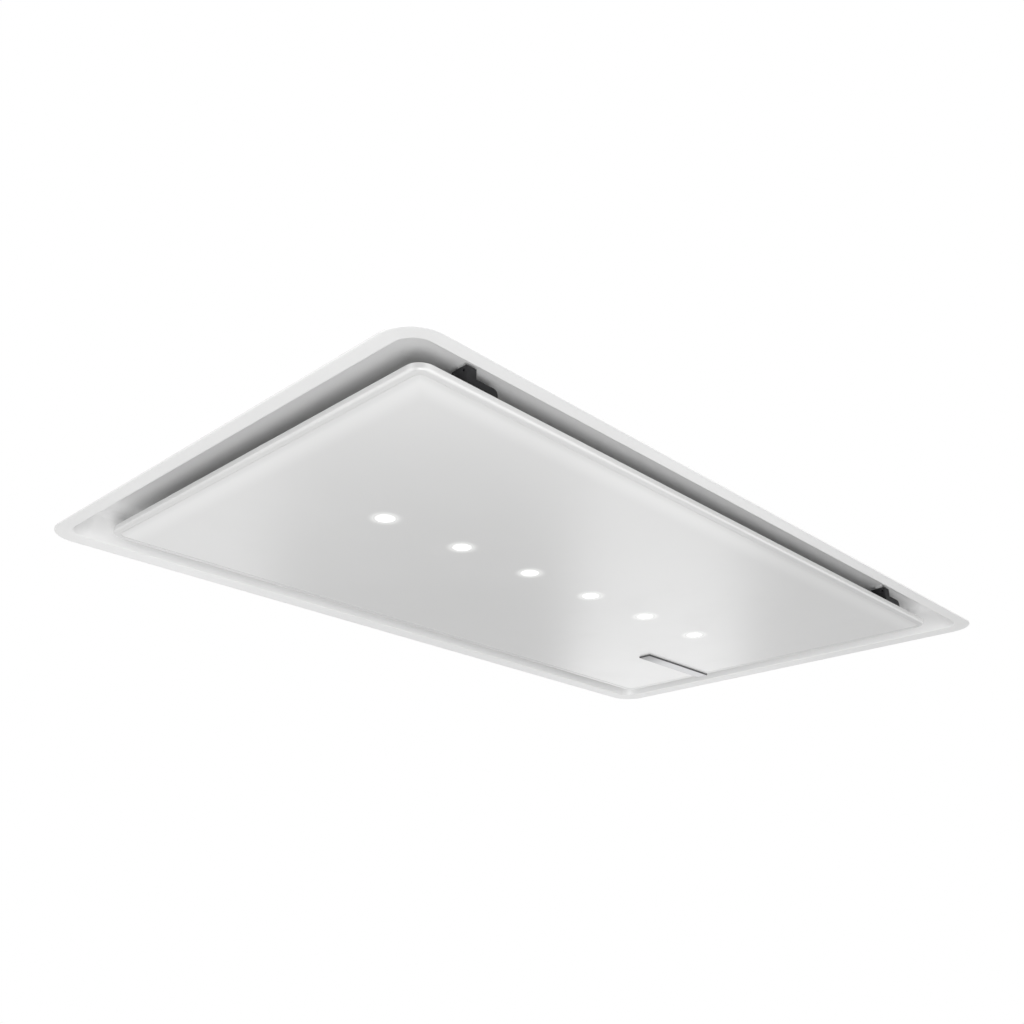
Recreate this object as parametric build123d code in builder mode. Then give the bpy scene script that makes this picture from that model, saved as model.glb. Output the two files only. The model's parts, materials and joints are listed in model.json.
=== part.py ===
from build123d import *
import math
import os

# Ceiling range hood, in millimetres.
# The origin is the centre of the ceiling opening, on the plane where the flange meets the ceiling.
# +X runs along the long side, +Y towards the hinged long side, +Z up into the ceiling.

os.makedirs("parts", exist_ok=True)

# ---------------------------------------------------------------- driving dimensions

# visible flange and recess
FRAME_X = 1200.0          # flange, long side
FRAME_Y = 700.0           # flange, short side
FRAME_R = 40.0            # flange corner radius
LIP = 2.0                 # flange edge below the ceiling plane
CREASE_IN = 20.5          # width of the flange, up to the recess
CREASE_Z = 0.5            # the flange is dished, so the crease is higher than the lip
CREASE_R = 25.0
CREASE_ROUND = 2.0
RECESS_IN = 34.0          # top of the recess wall
RECESS_R = 22.0
LEDGE_Z = 38.0            # underside of the recess ceiling
LEDGE_IN = 100.0          # inner edge of the recess ceiling
LEDGE_R = 12.0
DISH_IN = 1.5             # flat rim outside the dish
COVE_R = 12.0
SHEET = 2.0               # formed sheet of the frame

# lower casing
CUTOUT_IN = 9.0           # flange overlap on the ceiling
CASE_IN = 10.0
CASE_T = 1.2
CASE_FOOT = 9.0
CASE_TOP = 100.0
CASE_SCREW = 4.2          # screws in the foot, from the inside of the wall

# blower box
BOX_X = 560.0
BOX_Y = 480.0
BOX_MID_X = -10.0
BOX_T = 1.2
BOX_R = 6.0
BOX_FLANGE = 15.0
BOX_SCREW = 8.0           # screws in the flange, from the wall
BOX_TOP = 294.8
LID_SKIRT = 14.0
LID_GAP = 0.3
LID_ROUND = 0.8

# hinged panel
PANEL_X = 1080.0
PANEL_Y = 590.0
PANEL_R = 18.0
PANEL_TALL = 8.0
PANEL_WALL = 1.5
CORNER_EASE = 2.0         # the glass has slightly rounder corners than the border's width leaves
RIM = 9.0                 # visible white border
BORDER_R = 3.0            # rounding of the border's outer lower edge
BORDER_BEVEL = 0.6
GROOVE = 0.4              # gap between border and glass
GLASS_T = 4.0
GLASS_BACK = 0.3          # glass face above the border face
GLASS_BEVEL = 0.6
BACKING_T = 1.0

# lamps, in one row under the middle of the panel
LAMP_COUNT = 6
LAMP_PITCH = 131.6
LENS_R = 15.0
LENS_ROUND = 0.4
LAMP_BOSS_R = 12.0
SINK_R = 22.0
SINK_TALL = 12.0
SINK_BASE = 3.0
FIN_PITCH = 6.0
FIN_GAP = 3.6
FINS = 7                  # gaps between fins

# bare metal plate near one end of the panel
PLATE_LEFT = 368.0
PLATE_Y = 130.0
PLATE_WIDE = 22.0
PLATE_T = 2.2
PLATE_WRAP = 1.2
PLATE_TURN_UP = 5.0
PLATE_BEVEL = 0.9

# panel hinge
HINGE_X = 443.0
HINGE_OUT = 5.0           # axis outside the panel's rear edge
HINGE_Z = 7.0
PIN_R = 2.0
KNUCKLE_R = 4.0
ARM_WIDE = 16.0
LUG_T = 3.0
LUG_REAR = 5.0
LUG_FRONT = 18.0
HINGE_BASE_X = 44.0
HINGE_BASE_Y = 36.0
HINGE_BASE_T = 2.5
ARM_GAP = 0.5
ARM_FOOT_T = 2.0
ARM_FOOT_END = 56.0       # end of the arm's foot, from the axis
ARM_SLOPE = (34.0, 44.0)  # start and end of the arm's slope, from the axis
ARM_INSIDE = 8.0          # the arm's block inside the panel's wall, from the axis
WALL_GAP = 0.6

# catch brackets on the panel's front edge
CATCH_LEFTS = (-471.0, 420.0)
POST_WIDE = 14.0
POST_DEEP = 31.0
POST_TOP = 33.2
POST_STEP_FROM = 22.0     # the post's rear part, from its front
POST_STEP = 1.2           # drop of that part's top
CATCH_ARM = 30.5
CATCH_ARM_TOP = 21.8
CATCH_ARM_R = 6.0
CATCH_ARM_T = 4.0
CATCH_FRONT = -287.0
CATCH_FOOT_T = 2.5
CATCH_FOOT_OUT = 4.0
CATCH_HOLE_R = 1.6
CATCH_HOLE_DOWN = 5.0
REBATE_FROM = 15.0
REBATE_DEEP = 1.0
MAGNET_X = 8.0
MAGNET_Y = 10.0
MAGNET_GAP = 0.6

# plate above the recess that the filters hang from, and the filters' leaf springs
PLATE_IN = 48.0
PLATE_CORNER_R = 20.0
BODY_GAP = 1.5
CLIP_WIDE = 26.0
CLIP_T = 0.8
CLIP_FOOT = 12.4
CLIP_DROP = 2.0
CLIP_GAP = 0.8

# grease filters
FILTER_NAMES = ("left", "middle", "right")
FILTER_PITCH = 328.0
FILTER_X = 322.0
FILTER_Y = 430.0
FILTER_RIM_T = 3.0
FILTER_BODY_TALL = 10.0
FILTER_WALL = 1.5
FILTER_R = 5.0
FILTER_BODY_IN = 9.0      # body inside the rim, each side
WINDOW_IN = 15.0          # window in the rim, from each side
WINDOW_FRONT = 59.0
WINDOW_REAR = 13.0
WINDOW_R = 6.0
POCKET_FRONT = 14.0       # cup for the handle, from the filter's front edge
POCKET_LONG = 32.0
POCKET_TALL = 7.0
POCKET_WALL = 3.0
BAFFLE_WIDE = 24.0
BAFFLE_TALL = 6.0
BAFFLE_T = 1.2
BAFFLE_PITCH = 36.0
BAFFLE_COUNT = 8
HANDLE_WIDE = 62.0
HANDLE_LONG = 24.0
HANDLE_BAR = 4.0
HANDLE_PIVOT_R = 1.5

# blower
BLOWER_X = -40.0
BLOWER_Y = 30.0
SCROLL_Z0 = 112.0
SCROLL_Z1 = 242.0
SCROLL_R = 130.0          # smallest scroll radius
SCROLL_STEP = 28.0        # growth of the radius each quarter turn
SCROLL_T = 1.5
SCROLL_OUT = 150.0        # outlet end, from the blower axis
THROAT_R = 84.0           # mouth that leads the air into the wheel
THROAT_T = 2.0
THROAT_UP = 3.0           # end of the mouth inside the wheel's eye
FLARE = 12.0
FLARE_TALL = 8.0
FLARE_R = 11.0
FLARE_FLANGE = 16.0
FLARE_T = 1.5
BLOWER_FOOT_R = 8.0
BLOWER_FEET_R = 122.0     # circle that the rubber feet stand on
WHEEL_R = 108.0
WHEEL_EYE_R = 90.0
WHEEL_Z0 = 118.0
WHEEL_Z1 = 222.0
WHEEL_T = 2.0
HUB_R = 14.0
HUB_TALL = 26.0
BLADES = 36
# one blade seen along the axis, from the eye to the rim
BLADE_SECTION = (
    (91.0, -0.6), (97.0, -1.9), (103.0, 0.6), (107.0, 4.4),
    (106.2, 5.3), (102.3, 1.6), (97.0, -0.7), (91.0, 0.6),
)
SHAFT_R = 5.0
BEARING_R = 13.0
BEARING_TALL = 8.0
MOTOR_R = 58.0
MOTOR_Z1 = 290.0
MOTOR_WALL = 4.0
MOTOR_BOSS_R = 18.0       # round each bearing seat
MOTOR_CROWN = 5.0
MOTOR_FLOOR = 3.0
STATOR_CLEAR = 12.0       # winding space under and over the stator
STATOR_BORE_R = 35.0
ROTOR_R = 34.0
SLOTS = 12
SLOTS_R = 42.0
SLOT_LONG = 10.0
SLOT_WIDE = 5.0

# outlet
DUCT_R = 75.0
DUCT_WALL = 2.5
DUCT_LONG = 90.0
DUCT_Z = 190.0
DUCT_FLANGE = 172.0
DUCT_FLANGE_R = 10.0
TRANSITION_T = 2.0
TRANSITION_R = 3.0
STOP_T = 2.5              # ring that the closed flaps rest against
STOP_DEEP = 3.0
STOP_GAP = 0.3
SPINDLE_R = 2.5
SPINDLE_IN = 18.0         # spindle's distance from the box wall
FLAP_T = 1.6
FLAP_EDGE = 0.8           # gap round a flap, and between the two flaps
FLAP_KNUCKLE_R = 4.5
FLAP_KNUCKLE_LONG = 20.0
FLAP_KNUCKLE_GAP = 1.0    # end gap between alternating knuckles
FLAP_KNUCKLE_ROUND = 0.6  # gap round the other flap's knuckles

# electrics
CONTROL_X = 200.0
CONTROL_Y = 160.0
CONTROL_TALL = 50.0
CONTROL_AT = (420.0, 150.0)
CONTROL_T = 1.5
CONTROL_R = 6.0
COVER_SKIRT = 10.0
COVER_GAP = 0.2
COVER_ROUND = 1.0
BOARD = 130.0
BOARD_T = 1.6
BOARD_UP = 8.0            # height of the board above the casing
BOARD_LEFT = 20.0         # board's middle, from the middle of the box
# footprint, height and place of each part on the board
TRANSFORMER = (42.0, 36.0, 26.0, (-35.0, 30.0))
TERMINALS = (90.0, 12.0, 18.0, (10.0, -48.0))
CAPACITOR_R = 8.0
CAPACITORS_AT = ((15.0, 38.0), (38.0, 38.0))
STANDOFF_R = 3.0
STANDOFF_IN = 8.0
GLAND_BORE_R = 4.5
GLAND_THREAD_R = 10.0
GLAND_Z = 128.0
GLAND_HEX_R = 13.5
GLAND_HEX_T = 6.0
GLAND_NUT_R = 12.0
GLAND_NUT_T = 15.0
GLAND_DOME = 5.0
GLAND_THREAD = 7.0        # thread that stands inside the wall
DRIVER_AT = (420.0, -15.0)
DRIVER_X = 120.0
DRIVER_Y = 42.0
DRIVER_TALL = 24.0
DRIVER_FEET_X = 150.0
DRIVER_FEET_Y = 30.0
DRIVER_FEET_T = 3.0
DRIVER_FEET_R = 5.0
DRIVER_R = 4.0
DRIVER_ROUND = 3.0
DRIVER_SCREW_IN = 7.0

# suspension
ROD_X = 1060.0
ROD_Y = 540.0
ROD_HOLE_R = 4.5
BRACKET_T = 2.5
BRACKET_TALL = 45.0
BRACKET_WIDE = 44.0
BRACKET_RISER = 8.0       # riser's inner face, from the rod's hole towards the middle
BRACKET_FOOT = 34.0       # end of the foot, from the rod's hole
BRACKET_TAB = 18.0        # end of the tab, from the rod's hole
BRACKET_FOOT_Y = 20.0     # screws in the foot
BRACKET_FOOT_X = 12.0
BRACKET_R = 6.0

# fits and fasteners
RUNNING = 0.05            # radial clearance of a running fit
SCREW_R = 2.0
SCREW_HEAD_R = 3.6
SCREW_HEAD_TALL = 2.2
SCREW_CROWN = 0.8
SCREW_GAP = 0.1
SCREW_BEYOND = 2.0        # end of a long screw beyond the sheets

# ---------------------------------------------------------------- derived dimensions

PANEL_Z0 = -LIP
PANEL_Z1 = PANEL_Z0 + PANEL_TALL
GLASS_Z0 = PANEL_Z0 + GLASS_BACK
GLASS_Z1 = GLASS_Z0 + GLASS_T
BACKING_Z1 = GLASS_Z1 + BACKING_T
LEDGE_TOP = LEDGE_Z + SHEET
CASE_Z0 = CREASE_Z + SHEET
HINGE_Y = PANEL_Y / 2 + HINGE_OUT
BOX_RIGHT = BOX_MID_X + BOX_X / 2
INLET_HOLE_R = THROAT_R + FLARE + THROAT_T
SCROLL_HALF = SCROLL_STEP / 2
SCROLL_MAX_R = SCROLL_R + 3 * SCROLL_STEP
OUTLET_WIDE = 4 * SCROLL_STEP
OUTLET_LOCAL_X = (SCROLL_R + SCROLL_MAX_R) / 2
DUCT_Y = BLOWER_Y - OUTLET_LOCAL_X
DUCT_BORE_R = DUCT_R - DUCT_WALL
MOTOR_Z0 = SCROLL_Z1 + SCROLL_T
FILTER_Z0 = LEDGE_TOP - FILTER_RIM_T
FILTER_BODY_X = FILTER_X - 2 * FILTER_BODY_IN
FILTER_BODY_Y = FILTER_Y - 2 * FILTER_BODY_IN
SPINDLE_X = BOX_RIGHT + SPINDLE_IN
FOOT_SCREW_IN = CASE_IN + CASE_T + CASE_SCREW


# ---------------------------------------------------------------- helpers

def frame_outline(inset, radius):
    """Add the rounded outline of the flange, set in by inset."""
    RectangleRounded(FRAME_X - 2 * inset, FRAME_Y - 2 * inset, radius)


def save(part, name):
    """Label a finished piece and write its file."""
    part.label = name
    export_step(part, f"parts/{name}.step")


def along(length, count):
    """Evenly spaced places along a side of this length, centred on zero."""
    step = length / count
    return [step * (i + 0.5) - length / 2 for i in range(count)]


def perimeter(half_x, half_y, count_x, count_y):
    """Screw places round a rectangle."""
    places = [(x, side * half_y) for x in along(2 * half_x, count_x) for side in (-1, 1)]
    places += [(side * half_x, y) for y in along(2 * half_y, count_y) for side in (-1, 1)]
    return places


def drill(places, top, radius, depth):
    """Drill holes downwards from the height top into the part being built."""
    with Locations(*[(x, y, top) for x, y in places]):
        Hole(radius, depth)


def pan_screws(places, seat, reach):
    """Pan-head screws whose heads sit on the height seat and whose shanks reach down from it."""
    with BuildPart() as screws:
        for x, y in places:
            with BuildSketch(Plane((x, y, seat - reach))):
                Circle(SCREW_R)
            extrude(amount=reach)
            with BuildSketch(Plane((x, y, seat))):
                Circle(SCREW_HEAD_R)
            extrude(amount=SCREW_HEAD_TALL)
        crowns = screws.edges().filter_by_position(
            Axis.Z, seat + SCREW_HEAD_TALL - 0.01, seat + SCREW_HEAD_TALL + 0.01
        )
        fillet(crowns, SCREW_CROWN)
    return screws.part


# ---------------------------------------------------------------- flange and recess

FOOT_SCREWS = perimeter(FRAME_X / 2 - FOOT_SCREW_IN, FRAME_Y / 2 - FOOT_SCREW_IN, 6, 4)

with BuildPart() as ceiling_frame:
    with BuildSketch(Plane.XY.offset(-LIP)):
        frame_outline(0, FRAME_R)
    extrude(amount=LIP)
    with BuildSketch(Plane.XY):
        frame_outline(CUTOUT_IN, FRAME_R - CUTOUT_IN)
    extrude(amount=CREASE_Z + SHEET)
    # outside of the recess wall, up to the top of the ledge
    with BuildSketch(Plane.XY.offset(CREASE_Z)):
        frame_outline(CREASE_IN - SHEET, CREASE_R + SHEET)
    with BuildSketch(Plane.XY.offset(LEDGE_TOP)):
        frame_outline(RECESS_IN - SHEET, RECESS_R + SHEET)
    loft(ruled=True)
    # dished underside of the flange
    with BuildSketch(Plane.XY.offset(-LIP)):
        frame_outline(DISH_IN, FRAME_R - DISH_IN)
    with BuildSketch(Plane.XY.offset(CREASE_Z)):
        frame_outline(CREASE_IN, CREASE_R)
    loft(ruled=True, mode=Mode.SUBTRACT)
    # recess
    with BuildSketch(Plane.XY.offset(CREASE_Z)):
        frame_outline(CREASE_IN, CREASE_R)
    with BuildSketch(Plane.XY.offset(LEDGE_Z)):
        frame_outline(RECESS_IN, RECESS_R)
    loft(ruled=True, mode=Mode.SUBTRACT)
    cove = ceiling_frame.edges().filter_by_position(Axis.Z, LEDGE_Z - 0.01, LEDGE_Z + 0.01)
    fillet(cove, COVE_R)
    crease = ceiling_frame.edges().filter_by_position(Axis.Z, CREASE_Z - 0.01, CREASE_Z + 0.01)
    fillet(crease, CREASE_ROUND)
    # opening above the filters
    with BuildSketch(Plane.XY.offset(LEDGE_Z)):
        frame_outline(LEDGE_IN, LEDGE_R)
    extrude(amount=SHEET, mode=Mode.SUBTRACT)
    drill(FOOT_SCREWS, CASE_Z0, SCREW_R + SCREW_GAP, SHEET)
save(ceiling_frame.part, "ceiling_frame")

# ---------------------------------------------------------------- filter plate

with BuildPart() as filter_plate:
    with BuildSketch(Plane.XY.offset(LEDGE_TOP)):
        frame_outline(PLATE_IN, PLATE_CORNER_R)
        with GridLocations(FILTER_PITCH, 0, len(FILTER_NAMES), 1):
            Rectangle(FILTER_BODY_X + 2 * BODY_GAP, FILTER_BODY_Y + 2 * BODY_GAP, mode=Mode.SUBTRACT)
    extrude(amount=CASE_T)
save(filter_plate.part, "filter_plate")

# leaf springs that grip the filters' short ends
with BuildPart() as filter_clips:
    for column in range(len(FILTER_NAMES)):
        clip_x = (column - 1) * FILTER_PITCH
        for end in (-1, 1):
            leaf_y = end * (FILTER_Y / 2 + CLIP_GAP + CLIP_T / 2)
            foot_y = end * (FILTER_Y / 2 + CLIP_GAP + CLIP_FOOT / 2)
            with BuildSketch(Plane((clip_x, leaf_y, FILTER_Z0 - CLIP_DROP))):
                Rectangle(CLIP_WIDE, CLIP_T)
            extrude(amount=LEDGE_TOP - FILTER_Z0 + CLIP_DROP)
            with BuildSketch(Plane((clip_x, foot_y, LEDGE_TOP - CLIP_T))):
                Rectangle(CLIP_WIDE, CLIP_FOOT)
            extrude(amount=CLIP_T)
save(filter_clips.part, "filter_clips")

# ---------------------------------------------------------------- lower casing

BOX_SCREWS = [
    (BOX_MID_X + x, y) for x, y in perimeter(BOX_X / 2 + BOX_SCREW, BOX_Y / 2 + BOX_SCREW, 4, 3)
]
BRACKET_CORNERS = {
    "front_left": (-1, -1),
    "front_right": (1, -1),
    "rear_left": (-1, 1),
    "rear_right": (1, 1),
}
BRACKET_SCREWS = [
    (sx * ROD_X / 2 + dx, sy * (ROD_Y / 2 - BRACKET_FOOT_Y))
    for sx, sy in BRACKET_CORNERS.values()
    for dx in (-BRACKET_FOOT_X, BRACKET_FOOT_X)
]

with BuildPart() as casing_shell:
    with BuildSketch(Plane.XY.offset(CASE_Z0)):
        frame_outline(CASE_IN, FRAME_R - CASE_IN)
    extrude(amount=CASE_TOP - CASE_Z0)
    with BuildSketch(Plane.XY.offset(CASE_Z0 + CASE_T)):
        frame_outline(CASE_IN + CASE_T, FRAME_R - CASE_IN - CASE_T)
    extrude(amount=CASE_TOP - CASE_Z0 - 2 * CASE_T, mode=Mode.SUBTRACT)
    # the foot turns inwards and stands on the frame
    with BuildSketch(Plane.XY.offset(CASE_Z0)):
        frame_outline(CASE_IN + CASE_FOOT, FRAME_R - CASE_IN - CASE_FOOT)
    extrude(amount=CASE_T, mode=Mode.SUBTRACT)
    with Locations((BLOWER_X, BLOWER_Y, CASE_TOP)):
        Hole(INLET_HOLE_R, CASE_T)
    drill(FOOT_SCREWS, CASE_Z0 + CASE_T, SCREW_R + SCREW_GAP, CASE_T)
    drill(BOX_SCREWS + BRACKET_SCREWS, CASE_TOP, SCREW_R + SCREW_GAP, CASE_T)
save(casing_shell.part, "casing_shell")

save(pan_screws(FOOT_SCREWS, CASE_Z0 + CASE_T, CASE_T + SHEET - 2 * SCREW_GAP), "frame_screws")

# ---------------------------------------------------------------- suspension brackets

ROD_TAB_Z = CASE_TOP + BRACKET_TALL
RISER_Y = ROD_Y / 2 - BRACKET_RISER

for corner, (sx, sy) in BRACKET_CORNERS.items():
    with BuildPart() as bracket:
        # foot, riser and tab, bent from one strip; the foot points to the middle of the hood
        with BuildSketch(Plane.YZ.offset(sx * ROD_X / 2 - BRACKET_WIDE / 2)):
            with BuildLine():
                Polyline(
                    (sy * (ROD_Y / 2 - BRACKET_FOOT), CASE_TOP),
                    (sy * RISER_Y, CASE_TOP),
                    (sy * RISER_Y, ROD_TAB_Z - BRACKET_T),
                    (sy * (ROD_Y / 2 + BRACKET_TAB), ROD_TAB_Z - BRACKET_T),
                    (sy * (ROD_Y / 2 + BRACKET_TAB), ROD_TAB_Z),
                    (sy * (RISER_Y - BRACKET_T), ROD_TAB_Z),
                    (sy * (RISER_Y - BRACKET_T), CASE_TOP + BRACKET_T),
                    (sy * (ROD_Y / 2 - BRACKET_FOOT), CASE_TOP + BRACKET_T),
                    close=True,
                )
            make_face()
        extrude(amount=BRACKET_WIDE)
        uprights = bracket.edges().filter_by(Axis.Z).filter_by(lambda e: e.length < 2 * BRACKET_T)
        fillet(uprights, BRACKET_R)
        with Locations((sx * ROD_X / 2, sy * ROD_Y / 2, ROD_TAB_Z)):
            Hole(ROD_HOLE_R, BRACKET_T)
        foot_places = [
            (sx * ROD_X / 2 + dx, sy * (ROD_Y / 2 - BRACKET_FOOT_Y))
            for dx in (-BRACKET_FOOT_X, BRACKET_FOOT_X)
        ]
        drill(foot_places, CASE_TOP + BRACKET_T, SCREW_R + SCREW_GAP, BRACKET_T)
    save(bracket.part, f"suspension_bracket_{corner}")

save(
    pan_screws(BRACKET_SCREWS, CASE_TOP + BRACKET_T, BRACKET_T + CASE_T + SCREW_BEYOND),
    "suspension_screws",
)

# ---------------------------------------------------------------- blower box and lid

with BuildPart() as blower_box:
    with BuildSketch(Plane((BOX_MID_X, 0, CASE_TOP))):
        RectangleRounded(BOX_X + 2 * BOX_FLANGE, BOX_Y + 2 * BOX_FLANGE, BOX_R)
    extrude(amount=BOX_T)
    with BuildSketch(Plane((BOX_MID_X, 0, CASE_TOP))):
        RectangleRounded(BOX_X, BOX_Y, BOX_R)
    extrude(amount=BOX_TOP - CASE_TOP)
    with BuildSketch(Plane((BOX_MID_X, 0, CASE_TOP))):
        RectangleRounded(BOX_X - 2 * BOX_T, BOX_Y - 2 * BOX_T, BOX_R - BOX_T)
    extrude(amount=BOX_TOP - CASE_TOP, mode=Mode.SUBTRACT)
    with BuildSketch(Plane.YZ.offset(BOX_RIGHT - 2 * BOX_T)):
        with Locations((DUCT_Y, DUCT_Z)):
            Circle(DUCT_BORE_R)
    extrude(amount=3 * BOX_T, mode=Mode.SUBTRACT)
    drill(BOX_SCREWS, CASE_TOP + BOX_T, SCREW_R + SCREW_GAP, BOX_T)
save(blower_box.part, "blower_box")

LID_X = BOX_X + 2 * (BOX_T + LID_GAP)
LID_Y = BOX_Y + 2 * (BOX_T + LID_GAP)

with BuildPart() as blower_box_lid:
    with BuildSketch(Plane((BOX_MID_X, 0, BOX_TOP - LID_SKIRT))):
        RectangleRounded(LID_X, LID_Y, BOX_R + LID_GAP + BOX_T)
    extrude(amount=LID_SKIRT + BOX_T)
    with BuildSketch(Plane((BOX_MID_X, 0, BOX_TOP - LID_SKIRT))):
        RectangleRounded(LID_X - 2 * BOX_T, LID_Y - 2 * BOX_T, BOX_R + LID_GAP)
    extrude(amount=LID_SKIRT, mode=Mode.SUBTRACT)
    top_edges = blower_box_lid.faces().sort_by(Axis.Z)[-1].outer_wire().edges()
    fillet(top_edges, LID_ROUND)
save(blower_box_lid.part, "blower_box_lid")

save(pan_screws(BOX_SCREWS, CASE_TOP + BOX_T, BOX_T + CASE_T + SCREW_BEYOND), "box_screws")

# ---------------------------------------------------------------- blower


def scroll_plane(height):
    """Plane of the scroll: its own +Y points along the outlet."""
    return Plane(origin=(BLOWER_X, BLOWER_Y, height), x_dir=(0, -1, 0), z_dir=(0, 0, 1))


def scroll_outline(thick):
    """Add the scroll's outline in four quarter arcs of growing radius, moved outwards by thick."""
    inner_x = SCROLL_R - SCROLL_HALF - thick
    outer_x = SCROLL_MAX_R + SCROLL_HALF + thick
    radius = SCROLL_R + thick
    start = math.degrees(math.acos((SCROLL_R - thick) / radius))
    tongue_y = SCROLL_HALF + radius * math.sin(math.radians(start))
    centres = ((-1, 1), (-1, -1), (1, -1), (1, 1))
    with BuildLine() as spiral:
        Line((inner_x, SCROLL_OUT), (inner_x, tongue_y))
        for quarter, (cx, cy) in enumerate(centres):
            first = start if quarter == 0 else 0
            CenterArc(
                (cx * SCROLL_HALF, cy * SCROLL_HALF),
                radius + quarter * SCROLL_STEP,
                90 * quarter + first,
                90 - first,
            )
        Line((outer_x, SCROLL_HALF), (outer_x, SCROLL_OUT))
        Line((outer_x, SCROLL_OUT), (inner_x, SCROLL_OUT))
    make_face(spiral.edges())


with BuildPart() as scroll_housing:
    with BuildSketch(scroll_plane(SCROLL_Z0)):
        scroll_outline(SCROLL_T)
    extrude(amount=SCROLL_Z1 - SCROLL_Z0)
    with BuildSketch(scroll_plane(SCROLL_Z0 + SCROLL_T)):
        scroll_outline(0)
    extrude(amount=SCROLL_Z1 - SCROLL_Z0 - SCROLL_T, mode=Mode.SUBTRACT)
    with Locations((BLOWER_X, BLOWER_Y, SCROLL_Z0 + SCROLL_T)):
        Hole(THROAT_R + 2 * THROAT_T, SCROLL_T)
save(scroll_housing.part, "scroll_housing")

with BuildPart() as scroll_cover:
    with BuildSketch(scroll_plane(SCROLL_Z1)):
        scroll_outline(SCROLL_T)
        Circle(BEARING_R - 1, mode=Mode.SUBTRACT)
    extrude(amount=SCROLL_T)
save(scroll_cover.part, "scroll_cover")

BLOWER_AXIS = Axis((BLOWER_X, BLOWER_Y, 0), (0, 0, 1))
BLOWER_SECTION = Plane(origin=(BLOWER_X, BLOWER_Y, 0), x_dir=(1, 0, 0), z_dir=(0, -1, 0))
THROAT_TOP = WHEEL_Z0 + THROAT_UP
FLARE_END = THROAT_R + FLARE

with BuildPart() as inlet_ring:
    # the flared mouth leads the air from the casing into the eye of the wheel
    with BuildSketch(BLOWER_SECTION):
        with BuildLine():
            Line((THROAT_R, THROAT_TOP), (THROAT_R, CASE_TOP + FLARE_TALL))
            flare = RadiusArc(
                (THROAT_R, CASE_TOP + FLARE_TALL), (FLARE_END, CASE_TOP - CASE_T), -FLARE_R
            )
            Polyline(
                flare @ 1,
                (FLARE_END, CASE_TOP),
                (FLARE_END + FLARE_FLANGE, CASE_TOP),
                (FLARE_END + FLARE_FLANGE, CASE_TOP + FLARE_T),
                (FLARE_END, CASE_TOP + FLARE_T),
                (THROAT_R + THROAT_T, CASE_TOP + FLARE_TALL + THROAT_T),
                (THROAT_R + THROAT_T, THROAT_TOP),
                (THROAT_R, THROAT_TOP),
            )
        make_face()
    revolve(axis=BLOWER_AXIS)
save(inlet_ring.part, "inlet_ring")

with BuildPart() as blower_mounts:
    with BuildSketch(Plane((BLOWER_X, BLOWER_Y, CASE_TOP))):
        with PolarLocations(BLOWER_FEET_R, 4, start_angle=45):
            Circle(BLOWER_FOOT_R)
    extrude(amount=SCROLL_Z0 - CASE_TOP)
save(blower_mounts.part, "blower_mounts")

with BuildPart() as impeller:
    # cupped blades between the back plate, with its hub, and the shroud ring
    with BuildSketch(Plane((BLOWER_X, BLOWER_Y, WHEEL_Z0 + 1))):
        with PolarLocations(0, BLADES):
            Polygon(*BLADE_SECTION, align=None)
    extrude(amount=WHEEL_Z1 - WHEEL_Z0 - WHEEL_T)
    with BuildSketch(Plane((BLOWER_X, BLOWER_Y, WHEEL_Z0))):
        Circle(WHEEL_R)
        Circle(WHEEL_EYE_R, mode=Mode.SUBTRACT)
    extrude(amount=WHEEL_T)
    with BuildSketch(Plane((BLOWER_X, BLOWER_Y, WHEEL_Z1 - WHEEL_T))):
        Circle(WHEEL_R)
    extrude(amount=WHEEL_T)
    with BuildSketch(Plane((BLOWER_X, BLOWER_Y, WHEEL_Z1 - HUB_TALL))):
        Circle(HUB_R)
    extrude(amount=HUB_TALL)
    with Locations((BLOWER_X, BLOWER_Y, WHEEL_Z1)):
        Hole(SHAFT_R, WHEEL_Z1 - WHEEL_Z0)
save(impeller.part, "impeller")

# ---------------------------------------------------------------- motor

LOWER_BEARING_Z = MOTOR_Z0 + 0.5
UPPER_BEARING_Z = MOTOR_Z1 - 1.5 - BEARING_TALL

with BuildPart() as motor_housing:
    with BuildSketch(Plane((BLOWER_X, BLOWER_Y, MOTOR_Z0))):
        Circle(MOTOR_R)
    extrude(amount=MOTOR_Z1 - MOTOR_Z0)
    crown = motor_housing.faces().sort_by(Axis.Z)[-1].edges()
    fillet(crown, MOTOR_CROWN)
    # winding space round the two bearing seats
    with BuildSketch(BLOWER_SECTION):
        with BuildLine():
            Polyline(
                (0, LOWER_BEARING_Z + BEARING_TALL + 1),
                (MOTOR_BOSS_R, LOWER_BEARING_Z + BEARING_TALL + 1),
                (MOTOR_BOSS_R, MOTOR_Z0 + MOTOR_FLOOR),
                (MOTOR_R - MOTOR_WALL, MOTOR_Z0 + MOTOR_FLOOR),
                (MOTOR_R - MOTOR_WALL, MOTOR_Z1 - MOTOR_CROWN),
                (MOTOR_BOSS_R, MOTOR_Z1 - MOTOR_CROWN),
                (MOTOR_BOSS_R, UPPER_BEARING_Z - 1),
                (0, UPPER_BEARING_Z - 1),
                close=True,
            )
        make_face()
    revolve(axis=BLOWER_AXIS, mode=Mode.SUBTRACT)
    with Locations((BLOWER_X, BLOWER_Y, UPPER_BEARING_Z + BEARING_TALL)):
        Hole(BEARING_R, UPPER_BEARING_Z + BEARING_TALL - MOTOR_Z0)
save(motor_housing.part, "motor_housing")

with BuildPart() as motor_bearings:
    for bearing_z in (LOWER_BEARING_Z, UPPER_BEARING_Z):
        with BuildSketch(Plane((BLOWER_X, BLOWER_Y, bearing_z))):
            Circle(BEARING_R)
            Circle(SHAFT_R + RUNNING, mode=Mode.SUBTRACT)
        extrude(amount=BEARING_TALL)
save(motor_bearings.part, "motor_bearings")

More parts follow.
